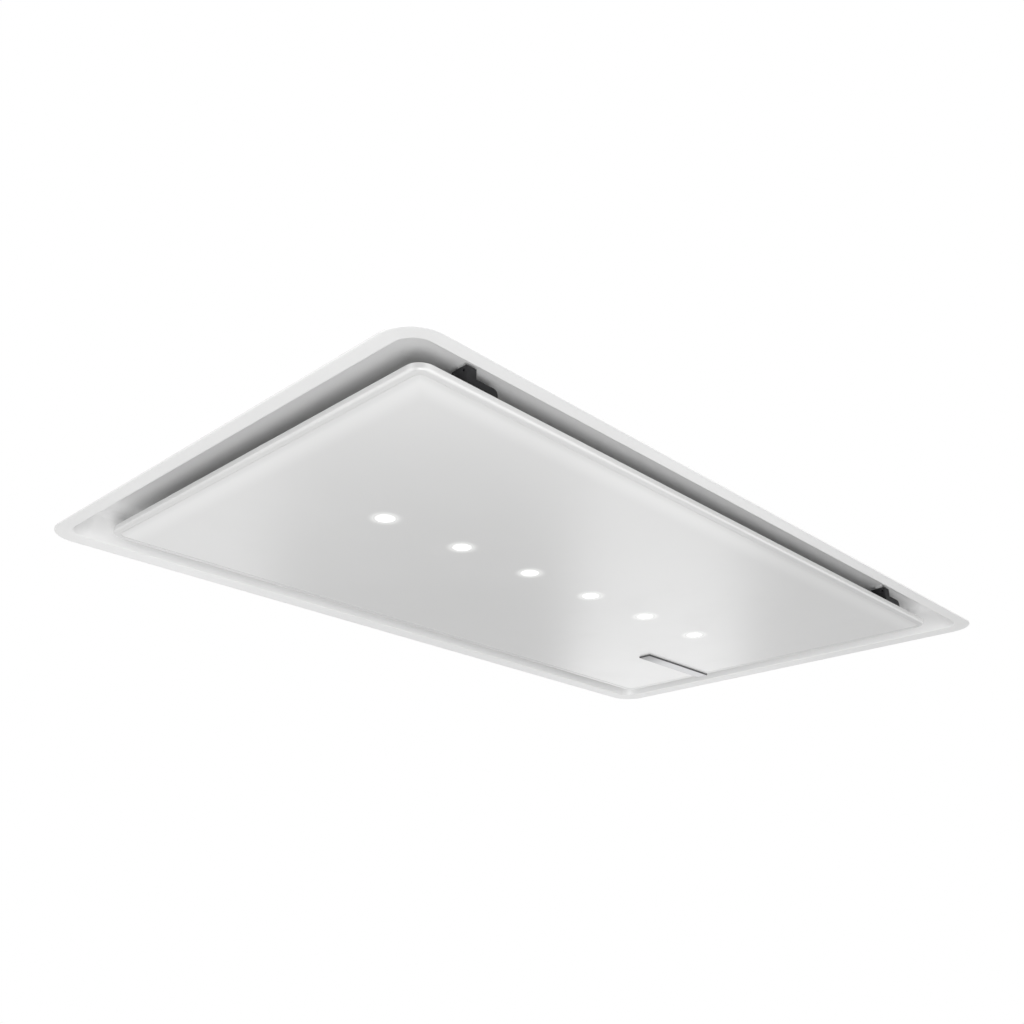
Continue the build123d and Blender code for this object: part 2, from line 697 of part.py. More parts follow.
STATOR_Z0 = MOTOR_Z0 + STATOR_CLEAR
STATOR_Z1 = MOTOR_Z1 - STATOR_CLEAR - SCROLL_T
SHAFT_Z0 = WHEEL_Z1 - HUB_TALL + 2

with BuildPart() as motor_stator:
    with BuildSketch(Plane((BLOWER_X, BLOWER_Y, STATOR_Z0))):
        Circle(MOTOR_R - MOTOR_WALL)
        Circle(STATOR_BORE_R, mode=Mode.SUBTRACT)
        with PolarLocations(SLOTS_R, SLOTS):
            SlotOverall(SLOT_LONG, SLOT_WIDE, mode=Mode.SUBTRACT)
    extrude(amount=STATOR_Z1 - STATOR_Z0)
save(motor_stator.part, "motor_stator")

with BuildPart() as motor_rotor:
    with BuildSketch(Plane((BLOWER_X, BLOWER_Y, SHAFT_Z0))):
        Circle(SHAFT_R)
    extrude(amount=MOTOR_Z1 - 2.5 - SHAFT_Z0)
    with BuildSketch(Plane((BLOWER_X, BLOWER_Y, STATOR_Z0))):
        Circle(ROTOR_R)
    extrude(amount=STATOR_Z1 - STATOR_Z0)
save(motor_rotor.part, "motor_rotor")

# ---------------------------------------------------------------- outlet

SCROLL_END_X = BLOWER_X + SCROLL_OUT
OUTLET_MID_Z = (SCROLL_Z0 + SCROLL_T + SCROLL_Z1) / 2
OUTLET_TALL = SCROLL_Z1 - SCROLL_Z0 - SCROLL_T

with BuildPart() as outlet_transition:
    # square to round, as a thin shell
    for thick, how in ((TRANSITION_T, Mode.ADD), (0.0, Mode.SUBTRACT)):
        with BuildSketch(Plane.YZ.offset(SCROLL_END_X)):
            with Locations((DUCT_Y, OUTLET_MID_Z)):
                RectangleRounded(OUTLET_WIDE + 2 * thick, OUTLET_TALL + 2 * thick, TRANSITION_R + thick)
        with BuildSketch(Plane.YZ.offset(BOX_RIGHT - BOX_T)):
            with Locations((DUCT_Y, DUCT_Z)):
                Circle(DUCT_BORE_R - TRANSITION_T + thick)
        loft(mode=how)
save(outlet_transition.part, "outlet_transition")

with BuildPart() as outlet_spigot:
    with BuildSketch(Plane.YZ.offset(BOX_RIGHT)):
        with Locations((DUCT_Y, DUCT_Z)):
            RectangleRounded(DUCT_FLANGE, DUCT_FLANGE, DUCT_FLANGE_R)
    extrude(amount=DUCT_WALL)
    with BuildSketch(Plane.YZ.offset(BOX_RIGHT)):
        with Locations((DUCT_Y, DUCT_Z)):
            Circle(DUCT_R)
    extrude(amount=DUCT_LONG)
    with BuildSketch(Plane.YZ.offset(BOX_RIGHT)):
        with Locations((DUCT_Y, DUCT_Z)):
            Circle(DUCT_BORE_R)
    extrude(amount=DUCT_LONG, mode=Mode.SUBTRACT)
    # stop ring that the flaps close against
    with BuildSketch(Plane.YZ.offset(SPINDLE_X - FLAP_KNUCKLE_R - STOP_GAP - STOP_T)):
        with Locations((DUCT_Y, DUCT_Z)):
            Circle(DUCT_BORE_R + 0.5)
            Circle(DUCT_BORE_R - STOP_DEEP, mode=Mode.SUBTRACT)
    extrude(amount=STOP_T)
    # bores for the flaps' spindle
    with BuildSketch(Plane((SPINDLE_X, DUCT_Y, DUCT_Z - DUCT_R - 1))):
        Circle(SPINDLE_R)
    extrude(amount=2 * DUCT_R + 2, mode=Mode.SUBTRACT)
save(outlet_spigot.part, "outlet_spigot")

with BuildPart() as flap_spindle:
    with BuildSketch(Plane((SPINDLE_X, DUCT_Y, DUCT_Z - DUCT_R + 0.5))):
        Circle(SPINDLE_R)
    extrude(amount=2 * DUCT_R - 1)
save(flap_spindle.part, "flap_spindle")

# Each flap is a half disc with two knuckles on the spindle; the knuckles of the two flaps alternate.
FLAP_R = DUCT_BORE_R - FLAP_EDGE
FLAPS = {"front": (-1, (-54.0, 6.0)), "rear": (1, (-26.0, 34.0))}

for flap_name, (flap_side, knuckle_starts) in FLAPS.items():
    with BuildPart() as flap:
        with BuildSketch(Plane.YZ.offset(SPINDLE_X - FLAP_KNUCKLE_R)):
            with Locations((DUCT_Y, DUCT_Z)):
                Circle(FLAP_R)
                other_half = Align.MIN if flap_side < 0 else Align.MAX
                Rectangle(
                    2 * DUCT_R, 2 * DUCT_R, mode=Mode.SUBTRACT, align=(other_half, Align.CENTER)
                )
            with Locations((DUCT_Y + flap_side * FLAP_EDGE / 2, DUCT_Z)):
                Rectangle(FLAP_EDGE, 2 * DUCT_R, mode=Mode.SUBTRACT)
        extrude(amount=FLAP_T)
        for knuckle_start in knuckle_starts:
            with BuildSketch(Plane((SPINDLE_X, DUCT_Y, DUCT_Z + knuckle_start))):
                Circle(FLAP_KNUCKLE_R)
            extrude(amount=FLAP_KNUCKLE_LONG)
        # room for the other flap's knuckles
        for other_side, other_starts in FLAPS.values():
            if other_side == flap_side:
                continue
            for other_start in other_starts:
                with BuildSketch(Plane((SPINDLE_X, DUCT_Y, DUCT_Z + other_start - FLAP_KNUCKLE_GAP))):
                    Circle(FLAP_KNUCKLE_R + FLAP_KNUCKLE_ROUND)
                extrude(amount=FLAP_KNUCKLE_LONG + 2 * FLAP_KNUCKLE_GAP, mode=Mode.SUBTRACT)
        with BuildSketch(Plane((SPINDLE_X, DUCT_Y, DUCT_Z - DUCT_R))):
            Circle(SPINDLE_R + RUNNING)
        extrude(amount=2 * DUCT_R, mode=Mode.SUBTRACT)
    save(flap.part, f"flap_{flap_name}")

# ---------------------------------------------------------------- electrics on the casing

CONTROL_CX, CONTROL_CY = CONTROL_AT
CONTROL_Z1 = CASE_TOP + CONTROL_TALL
CONTROL_RIGHT = CONTROL_CX + CONTROL_X / 2
COVER_X = CONTROL_X + 2 * COVER_GAP
COVER_Y = CONTROL_Y + 2 * COVER_GAP
BOARD_CX = CONTROL_CX - BOARD_LEFT
BOARD_Z0 = CASE_TOP + BOARD_UP
BOARD_Z1 = BOARD_Z0 + BOARD_T
GLAND_X0 = CONTROL_RIGHT - CONTROL_T - GLAND_THREAD
GLAND_X1 = CONTROL_RIGHT + GLAND_HEX_T + GLAND_NUT_T

with BuildPart() as control_box:
    with BuildSketch(Plane((CONTROL_CX, CONTROL_CY, CASE_TOP))):
        RectangleRounded(CONTROL_X, CONTROL_Y, CONTROL_R)
    extrude(amount=CONTROL_TALL)
    with BuildSketch(Plane((CONTROL_CX, CONTROL_CY, CASE_TOP + CONTROL_T))):
        RectangleRounded(
            CONTROL_X - 2 * CONTROL_T, CONTROL_Y - 2 * CONTROL_T, CONTROL_R - CONTROL_T
        )
    extrude(amount=CONTROL_TALL, mode=Mode.SUBTRACT)
    with BuildSketch(Plane.YZ.offset(CONTROL_RIGHT - 2 * CONTROL_T)):
        with Locations((CONTROL_CY, GLAND_Z)):
            Circle(GLAND_THREAD_R)
    extrude(amount=3 * CONTROL_T, mode=Mode.SUBTRACT)
save(control_box.part, "control_box")

with BuildPart() as control_box_cover:
    with BuildSketch(Plane((CONTROL_CX, CONTROL_CY, CONTROL_Z1 - COVER_SKIRT))):
        RectangleRounded(COVER_X + 2 * CONTROL_T, COVER_Y + 2 * CONTROL_T, CONTROL_R + CONTROL_T)
    extrude(amount=COVER_SKIRT + CONTROL_T)
    with BuildSketch(Plane((CONTROL_CX, CONTROL_CY, CONTROL_Z1 - COVER_SKIRT))):
        RectangleRounded(COVER_X, COVER_Y, CONTROL_R)
    extrude(amount=COVER_SKIRT, mode=Mode.SUBTRACT)
    cover_rim = control_box_cover.faces().sort_by(Axis.Z)[-1].outer_wire().edges()
    fillet(cover_rim, COVER_ROUND)
save(control_box_cover.part, "control_box_cover")

with BuildPart() as control_board:
    with BuildSketch(Plane((BOARD_CX, CONTROL_CY, BOARD_Z0))):
        Rectangle(BOARD, BOARD)
    extrude(amount=BOARD_T)
    for wide, deep, tall, place in (TRANSFORMER, TERMINALS):
        with BuildSketch(Plane((BOARD_CX, CONTROL_CY, BOARD_Z1))):
            with Locations(place):
                Rectangle(wide, deep)
        extrude(amount=tall)
    with BuildSketch(Plane((BOARD_CX, CONTROL_CY, BOARD_Z1))):
        with Locations(*CAPACITORS_AT):
            Circle(CAPACITOR_R)
    extrude(amount=TERMINALS[2])
    # stand-offs
    with BuildSketch(Plane((BOARD_CX, CONTROL_CY, CASE_TOP + CONTROL_T))):
        with GridLocations(BOARD - 2 * STANDOFF_IN, BOARD - 2 * STANDOFF_IN, 2, 2):
            Circle(STANDOFF_R)
    extrude(amount=BOARD_UP - CONTROL_T)
save(control_board.part, "control_board")

with BuildPart() as cable_gland:
    # thread through the wall, hexagon against it, domed clamping nut outside
    gland_at = (CONTROL_CY, GLAND_Z)
    with BuildSketch(Plane.YZ.offset(GLAND_X0)):
        with Locations(gland_at):
            Circle(GLAND_THREAD_R)
    extrude(amount=CONTROL_RIGHT - GLAND_X0)
    with BuildSketch(Plane.YZ.offset(CONTROL_RIGHT)):
        with Locations(gland_at):
            RegularPolygon(GLAND_HEX_R, 6)
    extrude(amount=GLAND_HEX_T)
    with BuildSketch(Plane.YZ.offset(CONTROL_RIGHT + GLAND_HEX_T)):
        with Locations(gland_at):
            Circle(GLAND_NUT_R)
    extrude(amount=GLAND_NUT_T)
    dome = cable_gland.faces().sort_by(Axis.X)[-1].edges()
    fillet(dome, GLAND_DOME)
    with BuildSketch(Plane.YZ.offset(GLAND_X0)):
        with Locations(gland_at):
            Circle(GLAND_BORE_R)
    extrude(amount=GLAND_X1 - GLAND_X0, mode=Mode.SUBTRACT)
save(cable_gland.part, "cable_gland")

DRIVER_CX, DRIVER_CY = DRIVER_AT

with BuildPart() as led_driver:
    with BuildSketch(Plane((DRIVER_CX, DRIVER_CY, CASE_TOP))):
        RectangleRounded(DRIVER_FEET_X, DRIVER_FEET_Y, DRIVER_FEET_R)
    extrude(amount=DRIVER_FEET_T)
    with BuildSketch(Plane((DRIVER_CX, DRIVER_CY, CASE_TOP))):
        RectangleRounded(DRIVER_X, DRIVER_Y, DRIVER_R)
    extrude(amount=DRIVER_TALL)
    driver_top = led_driver.faces().sort_by(Axis.Z)[-1].edges()
    fillet(driver_top, DRIVER_ROUND)
    with Locations((DRIVER_CX, DRIVER_CY, CASE_TOP + DRIVER_FEET_T)):
        with GridLocations(DRIVER_FEET_X - 2 * DRIVER_SCREW_IN, 0, 2, 1):
            Hole(SCREW_R, DRIVER_FEET_T)
save(led_driver.part, "led_driver")

# ---------------------------------------------------------------- hinged panel

with BuildPart() as panel_frame:
    with BuildSketch(Plane.XY.offset(PANEL_Z0)):
        RectangleRounded(PANEL_X, PANEL_Y, PANEL_R)
    extrude(amount=PANEL_TALL)
    bottom_rim = panel_frame.faces().sort_by(Axis.Z)[0].edges()
    fillet(bottom_rim, BORDER_R)
    with BuildSketch(Plane.XY.offset(GLASS_Z1)):
        RectangleRounded(PANEL_X - 2 * PANEL_WALL, PANEL_Y - 2 * PANEL_WALL, PANEL_R - PANEL_WALL)
    extrude(amount=PANEL_Z1 - GLASS_Z1, mode=Mode.SUBTRACT)
    with BuildSketch(Plane.XY.offset(PANEL_Z0)):
        RectangleRounded(PANEL_X - 2 * RIM, PANEL_Y - 2 * RIM, PANEL_R - RIM + CORNER_EASE)
    extrude(amount=GLASS_Z1 - PANEL_Z0, mode=Mode.SUBTRACT)
    border_face = panel_frame.faces().sort_by(Axis.Z)[0]
    chamfer(border_face.inner_wires().edges(), BORDER_BEVEL)
save(panel_frame.part, "panel_frame")

GLASS_IN = RIM + GROOVE

with BuildPart() as panel_glass:
    with BuildSketch(Plane.XY.offset(GLASS_Z0)):
        RectangleRounded(
            PANEL_X - 2 * GLASS_IN, PANEL_Y - 2 * GLASS_IN, PANEL_R - GLASS_IN + CORNER_EASE
        )
    extrude(amount=GLASS_T)
    arris = panel_glass.faces().sort_by(Axis.Z)[0].edges()
    chamfer(arris, GLASS_BEVEL)
    with Locations(Plane.XY.offset(GLASS_Z1)):
        with GridLocations(LAMP_PITCH, 0, LAMP_COUNT, 1):
            Hole(LENS_R, GLASS_T)
save(panel_glass.part, "panel_glass")

with BuildPart() as panel_backing:
    with BuildSketch(Plane.XY.offset(GLASS_Z1)):
        RectangleRounded(
            PANEL_X - 2 * PANEL_WALL - 1, PANEL_Y - 2 * PANEL_WALL - 1, PANEL_R - PANEL_WALL
        )
        with GridLocations(LAMP_PITCH, 0, LAMP_COUNT, 1):
            Circle(LAMP_BOSS_R + 0.5, mode=Mode.SUBTRACT)
    extrude(amount=BACKING_T)
save(panel_backing.part, "panel_backing")

LAMP_XS = [LAMP_PITCH * (i - (LAMP_COUNT - 1) / 2) for i in range(LAMP_COUNT)]

for number, lamp_x in enumerate(LAMP_XS, start=1):
    with BuildPart() as lens:
        with BuildSketch(Plane((lamp_x, 0, GLASS_Z0))):
            Circle(LENS_R - SCREW_GAP)
        extrude(amount=GLASS_T)
        lens_face = lens.faces().sort_by(Axis.Z)[0].edges()
        fillet(lens_face, LENS_ROUND)
    save(lens.part, f"led_lens_{number}")

with BuildPart() as led_modules:
    for lamp_x in LAMP_XS:
        with BuildSketch(Plane((lamp_x, 0, GLASS_Z1))):
            Circle(LAMP_BOSS_R)
        extrude(amount=BACKING_T)
        with BuildSketch(Plane((lamp_x, 0, BACKING_Z1))):
            Circle(SINK_R)
        extrude(amount=SINK_BASE)
        with BuildSketch(Plane((lamp_x, 0, BACKING_Z1 + SINK_BASE))):
            Circle(SINK_R)
            with GridLocations(FIN_PITCH, 0, FINS, 1):
                Rectangle(FIN_GAP, 2 * SINK_R + FIN_GAP, mode=Mode.SUBTRACT)
        extrude(amount=SINK_TALL - SINK_BASE)
save(led_modules.part, "led_modules")

GLASS_EDGE_X = PANEL_X / 2 - GLASS_IN
PLATE_Z0 = PANEL_Z0 - PLATE_T

with BuildPart() as trim_plate:
    # one strip from the glass over the border, its end turned up over the panel's side
    with BuildSketch(Plane((0, PLATE_Y, 0), x_dir=(1, 0, 0), z_dir=(0, -1, 0))):
        with BuildLine():
            Polyline(
                (PLATE_LEFT, PLATE_Z0),
                (PANEL_X / 2 + PLATE_WRAP, PLATE_Z0),
                (PANEL_X / 2 + PLATE_WRAP, PANEL_Z0 + PLATE_TURN_UP),
                (PANEL_X / 2, PANEL_Z0 + PLATE_TURN_UP),
                (PANEL_X / 2, PANEL_Z0),
                (GLASS_EDGE_X, PANEL_Z0),
                (GLASS_EDGE_X, GLASS_Z0),
                (PLATE_LEFT, GLASS_Z0),
                close=True,
            )
        make_face()
    extrude(amount=PLATE_WIDE / 2, both=True)
    plate_face = trim_plate.faces().sort_by(Axis.Z)[0].edges()
    chamfer(plate_face, PLATE_BEVEL)
save(trim_plate.part, "trim_plate")

# ---------------------------------------------------------------- panel hinges

HINGE_BASE_Z = LEDGE_Z - HINGE_BASE_T

for hinge_side, hinge_x in (("left", -HINGE_X), ("right", HINGE_X)):
    with BuildPart() as hinge_base:
        # plate under the recess ceiling with two lugs that hang down to the pin
        with BuildSketch(Plane((hinge_x, HINGE_Y - 12, HINGE_BASE_Z))):
            RectangleRounded(HINGE_BASE_X, HINGE_BASE_Y, 3)
        extrude(amount=HINGE_BASE_T)
        for lug_side in (-1, 1):
            lug_x = hinge_x + lug_side * (ARM_WIDE / 2 + ARM_GAP + LUG_T / 2) - LUG_T / 2
            with BuildSketch(Plane.YZ.offset(lug_x)):
                with BuildLine():
                    Polyline(
                        (HINGE_Y - KNUCKLE_R, HINGE_Z),
                        (HINGE_Y + KNUCKLE_R, HINGE_Z),
                        (HINGE_Y + LUG_REAR, HINGE_BASE_Z),
                        (HINGE_Y - LUG_FRONT, HINGE_BASE_Z),
                        close=True,
                    )
                make_face()
                with Locations((HINGE_Y, HINGE_Z)):
                    Circle(KNUCKLE_R)
                    Circle(PIN_R, mode=Mode.SUBTRACT)
            extrude(amount=LUG_T)
    save(hinge_base.part, f"hinge_base_{hinge_side}")

    with BuildPart() as hinge_arm:
        # strap over the panel's rear wall, with its foot on the backing sheet
        with BuildSketch(Plane.YZ.offset(hinge_x - ARM_WIDE / 2)):
            with BuildLine():
                Polyline(
                    (HINGE_Y, PANEL_Z1 + WALL_GAP),
                    (HINGE_Y, HINGE_Z + KNUCKLE_R),
                    (HINGE_Y - ARM_SLOPE[0], HINGE_Z + KNUCKLE_R),
                    (HINGE_Y - ARM_SLOPE[1], BACKING_Z1 + ARM_FOOT_T),
                    (HINGE_Y - ARM_FOOT_END, BACKING_Z1 + ARM_FOOT_T),
                    (HINGE_Y - ARM_FOOT_END, BACKING_Z1),
                    (HINGE_Y - ARM_INSIDE, BACKING_Z1),
                    (HINGE_Y - ARM_INSIDE, PANEL_Z1 + WALL_GAP),
                    close=True,
                )
            make_face()
            with Locations((HINGE_Y, HINGE_Z)):
                Circle(KNUCKLE_R)
                Circle(PIN_R + RUNNING, mode=Mode.SUBTRACT)
        extrude(amount=ARM_WIDE)
    save(hinge_arm.part, f"hinge_arm_{hinge_side}")

with BuildPart() as hinge_pins:
    for hinge_x in (-HINGE_X, HINGE_X):
        pin_half = ARM_WIDE / 2 + ARM_GAP + LUG_T
        with BuildSketch(Plane.YZ.offset(hinge_x - pin_half)):
            with Locations((HINGE_Y, HINGE_Z)):
                Circle(PIN_R)
        extrude(amount=2 * pin_half)
        with BuildSketch(Plane.YZ.offset(hinge_x - pin_half - 1.2)):
            with Locations((HINGE_Y, HINGE_Z)):
                Circle(PIN_R + 1.2)
        extrude(amount=1.2)
save(hinge_pins.part, "hinge_pins")

# ---------------------------------------------------------------- panel catches

CATCH_LONG = POST_WIDE + CATCH_ARM

for catch_side, post_left in zip(("left", "right"), CATCH_LEFTS):
    with BuildPart() as catch_bracket:
        # foot on the backing sheet, hollow post, and a low arm along the panel's edge
        with BuildSketch(Plane((post_left - CATCH_FOOT_OUT, CATCH_FRONT, BACKING_Z1))):
            RectangleRounded(
                CATCH_LONG + 2 * CATCH_FOOT_OUT, POST_DEEP + CATCH_ARM_R, CATCH_ARM_R / 2,
                align=(Align.MIN, Align.MIN),
            )
        extrude(amount=CATCH_FOOT_T)
        with BuildSketch(Plane((post_left, CATCH_FRONT, BACKING_Z1))):
            Rectangle(POST_WIDE, POST_DEEP, align=(Align.MIN, Align.MIN))
        extrude(amount=POST_TOP - BACKING_Z1)
        with BuildSketch(Plane((post_left, CATCH_FRONT, 0), x_dir=(1, 0, 0), z_dir=(0, -1, 0))):
            with BuildLine():
                Line((0, BACKING_Z1), (0, CATCH_ARM_TOP))
                Line((0, CATCH_ARM_TOP), (CATCH_LONG - CATCH_ARM_R, CATCH_ARM_TOP))
                RadiusArc(
                    (CATCH_LONG - CATCH_ARM_R, CATCH_ARM_TOP),
                    (CATCH_LONG, CATCH_ARM_TOP - CATCH_ARM_R),
                    CATCH_ARM_R,
                )
                Line((CATCH_LONG, CATCH_ARM_TOP - CATCH_ARM_R), (CATCH_LONG, BACKING_Z1))
                Line((CATCH_LONG, BACKING_Z1), (0, BACKING_Z1))
            make_face()
        extrude(amount=-CATCH_ARM_T)
        # screw hole and a rebate in the post's outer cheek
        with BuildSketch(Plane.YZ.offset(post_left)):
            with Locations((CATCH_FRONT + CATCH_ARM_T, POST_TOP - CATCH_HOLE_DOWN)):
                Circle(CATCH_HOLE_R)
        extrude(amount=POST_WIDE / 3, mode=Mode.SUBTRACT)
        # lower step at the rear of the post's top
        with BuildSketch(Plane.YZ.offset(post_left)):
            with Locations((CATCH_FRONT + POST_STEP_FROM, POST_TOP - POST_STEP)):
                Rectangle(POST_DEEP - POST_STEP_FROM, POST_STEP, align=(Align.MIN, Align.MIN))
        extrude(amount=POST_WIDE, mode=Mode.SUBTRACT)
        with BuildSketch(Plane.YZ.offset(post_left)):
            with Locations((CATCH_FRONT + REBATE_FROM, BACKING_Z1 + CATCH_FOOT_T)):
                Rectangle(POST_DEEP - REBATE_FROM, POST_TOP, align=(Align.MIN, Align.MIN))
        extrude(amount=REBATE_DEEP, mode=Mode.SUBTRACT)
    save(catch_bracket.part, f"catch_bracket_{catch_side}")

MAGNET_Z0 = POST_TOP + MAGNET_GAP

with BuildPart() as catch_magnets:
    for post_left in CATCH_LEFTS:
        magnet_y = CATCH_FRONT + POST_STEP_FROM / 2
        with BuildSketch(Plane((post_left + POST_WIDE / 2, magnet_y, MAGNET_Z0))):
            RectangleRounded(MAGNET_X, MAGNET_Y, REBATE_DEEP)
        extrude(amount=LEDGE_Z - MAGNET_Z0)
save(catch_magnets.part, "catch_magnets")

# ---------------------------------------------------------------- grease filters

WINDOW_Y0 = -FILTER_Y / 2 + WINDOW_FRONT
WINDOW_Y1 = FILTER_Y / 2 - WINDOW_REAR
WINDOW_X = FILTER_X - 2 * WINDOW_IN
POCKET_X = HANDLE_WIDE + HANDLE_BAR
POCKET_Y0 = -FILTER_Y / 2 + POCKET_FRONT
POCKET_Y1 = POCKET_Y0 + POCKET_LONG
PIVOT_Y = POCKET_Y0 + 3.2
PIVOT_Z = FILTER_Z0 + 3.5
WINDOW_MID_Y = (WINDOW_Y0 + WINDOW_Y1) / 2
BAFFLE_LONG = WINDOW_Y1 - WINDOW_Y0 + 4
BAFFLE_Z1 = LEDGE_TOP + FILTER_BODY_TALL
# web height, lip height and channel count of the lower and the upper row
BAFFLE_ROWS = (
    (LEDGE_TOP, LEDGE_TOP, BAFFLE_COUNT),
    (BAFFLE_Z1 - BAFFLE_T, BAFFLE_Z1 - BAFFLE_TALL, BAFFLE_COUNT - 1),
)

for column, filter_name in enumerate(FILTER_NAMES):
    filter_x = (column - 1) * FILTER_PITCH

    with BuildPart() as filter_frame:
        with BuildSketch(Plane((filter_x, 0, FILTER_Z0))):
            RectangleRounded(FILTER_X, FILTER_Y, FILTER_R)
        extrude(amount=FILTER_RIM_T)
        with BuildSketch(Plane((filter_x, 0, LEDGE_TOP))):
            Rectangle(FILTER_BODY_X, FILTER_BODY_Y)
            Rectangle(
                FILTER_BODY_X - 2 * FILTER_WALL, FILTER_BODY_Y - 2 * FILTER_WALL, mode=Mode.SUBTRACT
            )
        extrude(amount=FILTER_BODY_TALL)
        # cup round the handle
        with BuildSketch(Plane((filter_x, (POCKET_Y0 + POCKET_Y1) / 2, FILTER_Z0))):
            Rectangle(POCKET_X + 2 * POCKET_WALL, POCKET_LONG + 2 * POCKET_WALL)
        extrude(amount=POCKET_TALL + FILTER_WALL)
        with BuildSketch(Plane((filter_x, (POCKET_Y0 + POCKET_Y1) / 2, FILTER_Z0))):
            RectangleRounded(POCKET_X, POCKET_LONG, POCKET_WALL / 2)
        extrude(amount=POCKET_TALL, mode=Mode.SUBTRACT)
        with BuildSketch(Plane((filter_x, WINDOW_MID_Y, FILTER_Z0))):
            RectangleRounded(WINDOW_X, WINDOW_Y1 - WINDOW_Y0, WINDOW_R)
        extrude(amount=FILTER_RIM_T, mode=Mode.SUBTRACT)
        with BuildSketch(Plane.YZ.offset(filter_x - POCKET_X / 2 - 2.5)):
            with Locations((PIVOT_Y, PIVOT_Z)):
                Circle(HANDLE_PIVOT_R + RUNNING)
        extrude(amount=POCKET_X + 5, mode=Mode.SUBTRACT)
    save(filter_frame.part, f"filter_frame_{filter_name}")

    with BuildPart() as filter_baffles:
        # lower channels open upwards and upper channels open downwards, half a pitch apart
        for web_z, lips_z, count in BAFFLE_ROWS:
            with BuildSketch(Plane((filter_x, WINDOW_MID_Y, web_z))):
                with GridLocations(BAFFLE_PITCH, 0, count, 1):
                    Rectangle(BAFFLE_WIDE, BAFFLE_LONG)
            extrude(amount=BAFFLE_T)
            with BuildSketch(Plane((filter_x, WINDOW_MID_Y, lips_z))):
                with GridLocations(BAFFLE_PITCH, 0, count, 1):
                    with GridLocations(BAFFLE_WIDE - BAFFLE_T, 0, 2, 1):
                        Rectangle(BAFFLE_T, BAFFLE_LONG)
            extrude(amount=BAFFLE_TALL)
    save(filter_baffles.part, f"filter_baffles_{filter_name}")

    with BuildPart() as filter_handle:
        # fold-down bail with a stub shaft at each end of its pivot
        handle_mid_y = PIVOT_Y - HANDLE_BAR / 2 + HANDLE_LONG / 2
        with BuildSketch(Plane((filter_x, handle_mid_y, PIVOT_Z - HANDLE_BAR / 2 + 0.1))):
            RectangleRounded(HANDLE_WIDE, HANDLE_LONG, 1.9)
            with Locations((0, -HANDLE_BAR)):
                Rectangle(HANDLE_WIDE - 2 * HANDLE_BAR, HANDLE_LONG, mode=Mode.SUBTRACT)
        extrude(amount=HANDLE_BAR - 0.2)
        with BuildSketch(Plane.YZ.offset(filter_x - POCKET_X / 2 - 2)):
            with Locations((PIVOT_Y, PIVOT_Z)):
                Circle(HANDLE_PIVOT_R)
        extrude(amount=5)
        with BuildSketch(Plane.YZ.offset(filter_x + POCKET_X / 2 - 3)):
            with Locations((PIVOT_Y, PIVOT_Z)):
                Circle(HANDLE_PIVOT_R)
        extrude(amount=5)
    save(filter_handle.part, f"filter_handle_{filter_name}")
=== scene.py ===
"""Finishes a ceiling range hood over its solid model: materials, fasteners, baffles and a light stage."""

import json
import math

import bpy
from mathutils import Matrix, Quaternion, Vector

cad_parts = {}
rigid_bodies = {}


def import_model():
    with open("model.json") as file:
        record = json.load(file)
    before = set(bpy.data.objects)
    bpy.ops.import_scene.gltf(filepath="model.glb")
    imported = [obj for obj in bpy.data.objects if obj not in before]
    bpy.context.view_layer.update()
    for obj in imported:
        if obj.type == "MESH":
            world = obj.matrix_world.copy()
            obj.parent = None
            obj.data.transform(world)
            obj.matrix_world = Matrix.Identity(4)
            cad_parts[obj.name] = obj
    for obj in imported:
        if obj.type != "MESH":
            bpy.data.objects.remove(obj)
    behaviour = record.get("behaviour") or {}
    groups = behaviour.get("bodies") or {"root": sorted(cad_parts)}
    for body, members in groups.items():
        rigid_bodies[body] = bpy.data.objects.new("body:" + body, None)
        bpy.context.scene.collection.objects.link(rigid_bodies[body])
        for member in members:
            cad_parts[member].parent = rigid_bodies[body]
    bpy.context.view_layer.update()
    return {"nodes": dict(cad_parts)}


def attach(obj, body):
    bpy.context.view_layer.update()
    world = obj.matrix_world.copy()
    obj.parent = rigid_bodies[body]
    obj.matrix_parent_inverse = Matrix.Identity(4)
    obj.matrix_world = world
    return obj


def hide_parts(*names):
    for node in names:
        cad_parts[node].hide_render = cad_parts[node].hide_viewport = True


bl_info = {
    "name": "Ceiling Range Hood",
    "version": (1, 0, 0),
    "blender": (4, 5, 0),
    "location": "3D View > Sidebar > Hood",
    "description": "Dresses a ceiling range hood in its paints, metals and small parts",
    "category": "Object",
}

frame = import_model()
NODES = frame["nodes"]

MM = 0.001
NOWHERE = BLACK = (0.0, 0.0, 0.0)

# Sizes that the solid model fixes, in millimetres.
FLANGE_X, FLANGE_Y = 1200.0, 700.0
GLASS_X, GLASS_Y = 1061.2, 571.2
LAMP_PITCH, LENS_R = 131.6, 15.0
PLATE_LEFT, PLATE_RIGHT, PLATE_Y, PLATE_WIDE = 368.0, 541.2, 130.0, 22.0
CASE_IN, CASE_FOOT_TOP, FOOT_SCREW_IN = 10.0, 3.7, 15.4
BOX_X, BOX_Y, BOX_MID_X, BOX_FOOT_TOP, BOX_SCREW_OUT = 560.0, 480.0, -10.0, 101.2, 8.0
ROD_X, ROD_Y, ROD_SCREW_Y, ROD_SCREW_X, ROD_FOOT_TOP = 1060.0, 540.0, 20.0, 12.0, 102.5
FILTERS = {"left": -328.0, "middle": 0.0, "right": 328.0}
WINDOW_Y = (-156.0, 202.0)
BAFFLE_Z, BAFFLE_ROWS_APART, BAFFLE_SHEET, BAFFLE_PAST = 40.0, 10.0, 1.2, 4.0
NUT_X0, NUT_LONG, NUT_R, NUT_Y, NUT_Z, NUT_BARE = 526.0, 15.0, 12.0, 150.0, 128.0, 5.5
COVER_TOP, COVER_X, COVER_Y = 151.5, 420.0, 150.0
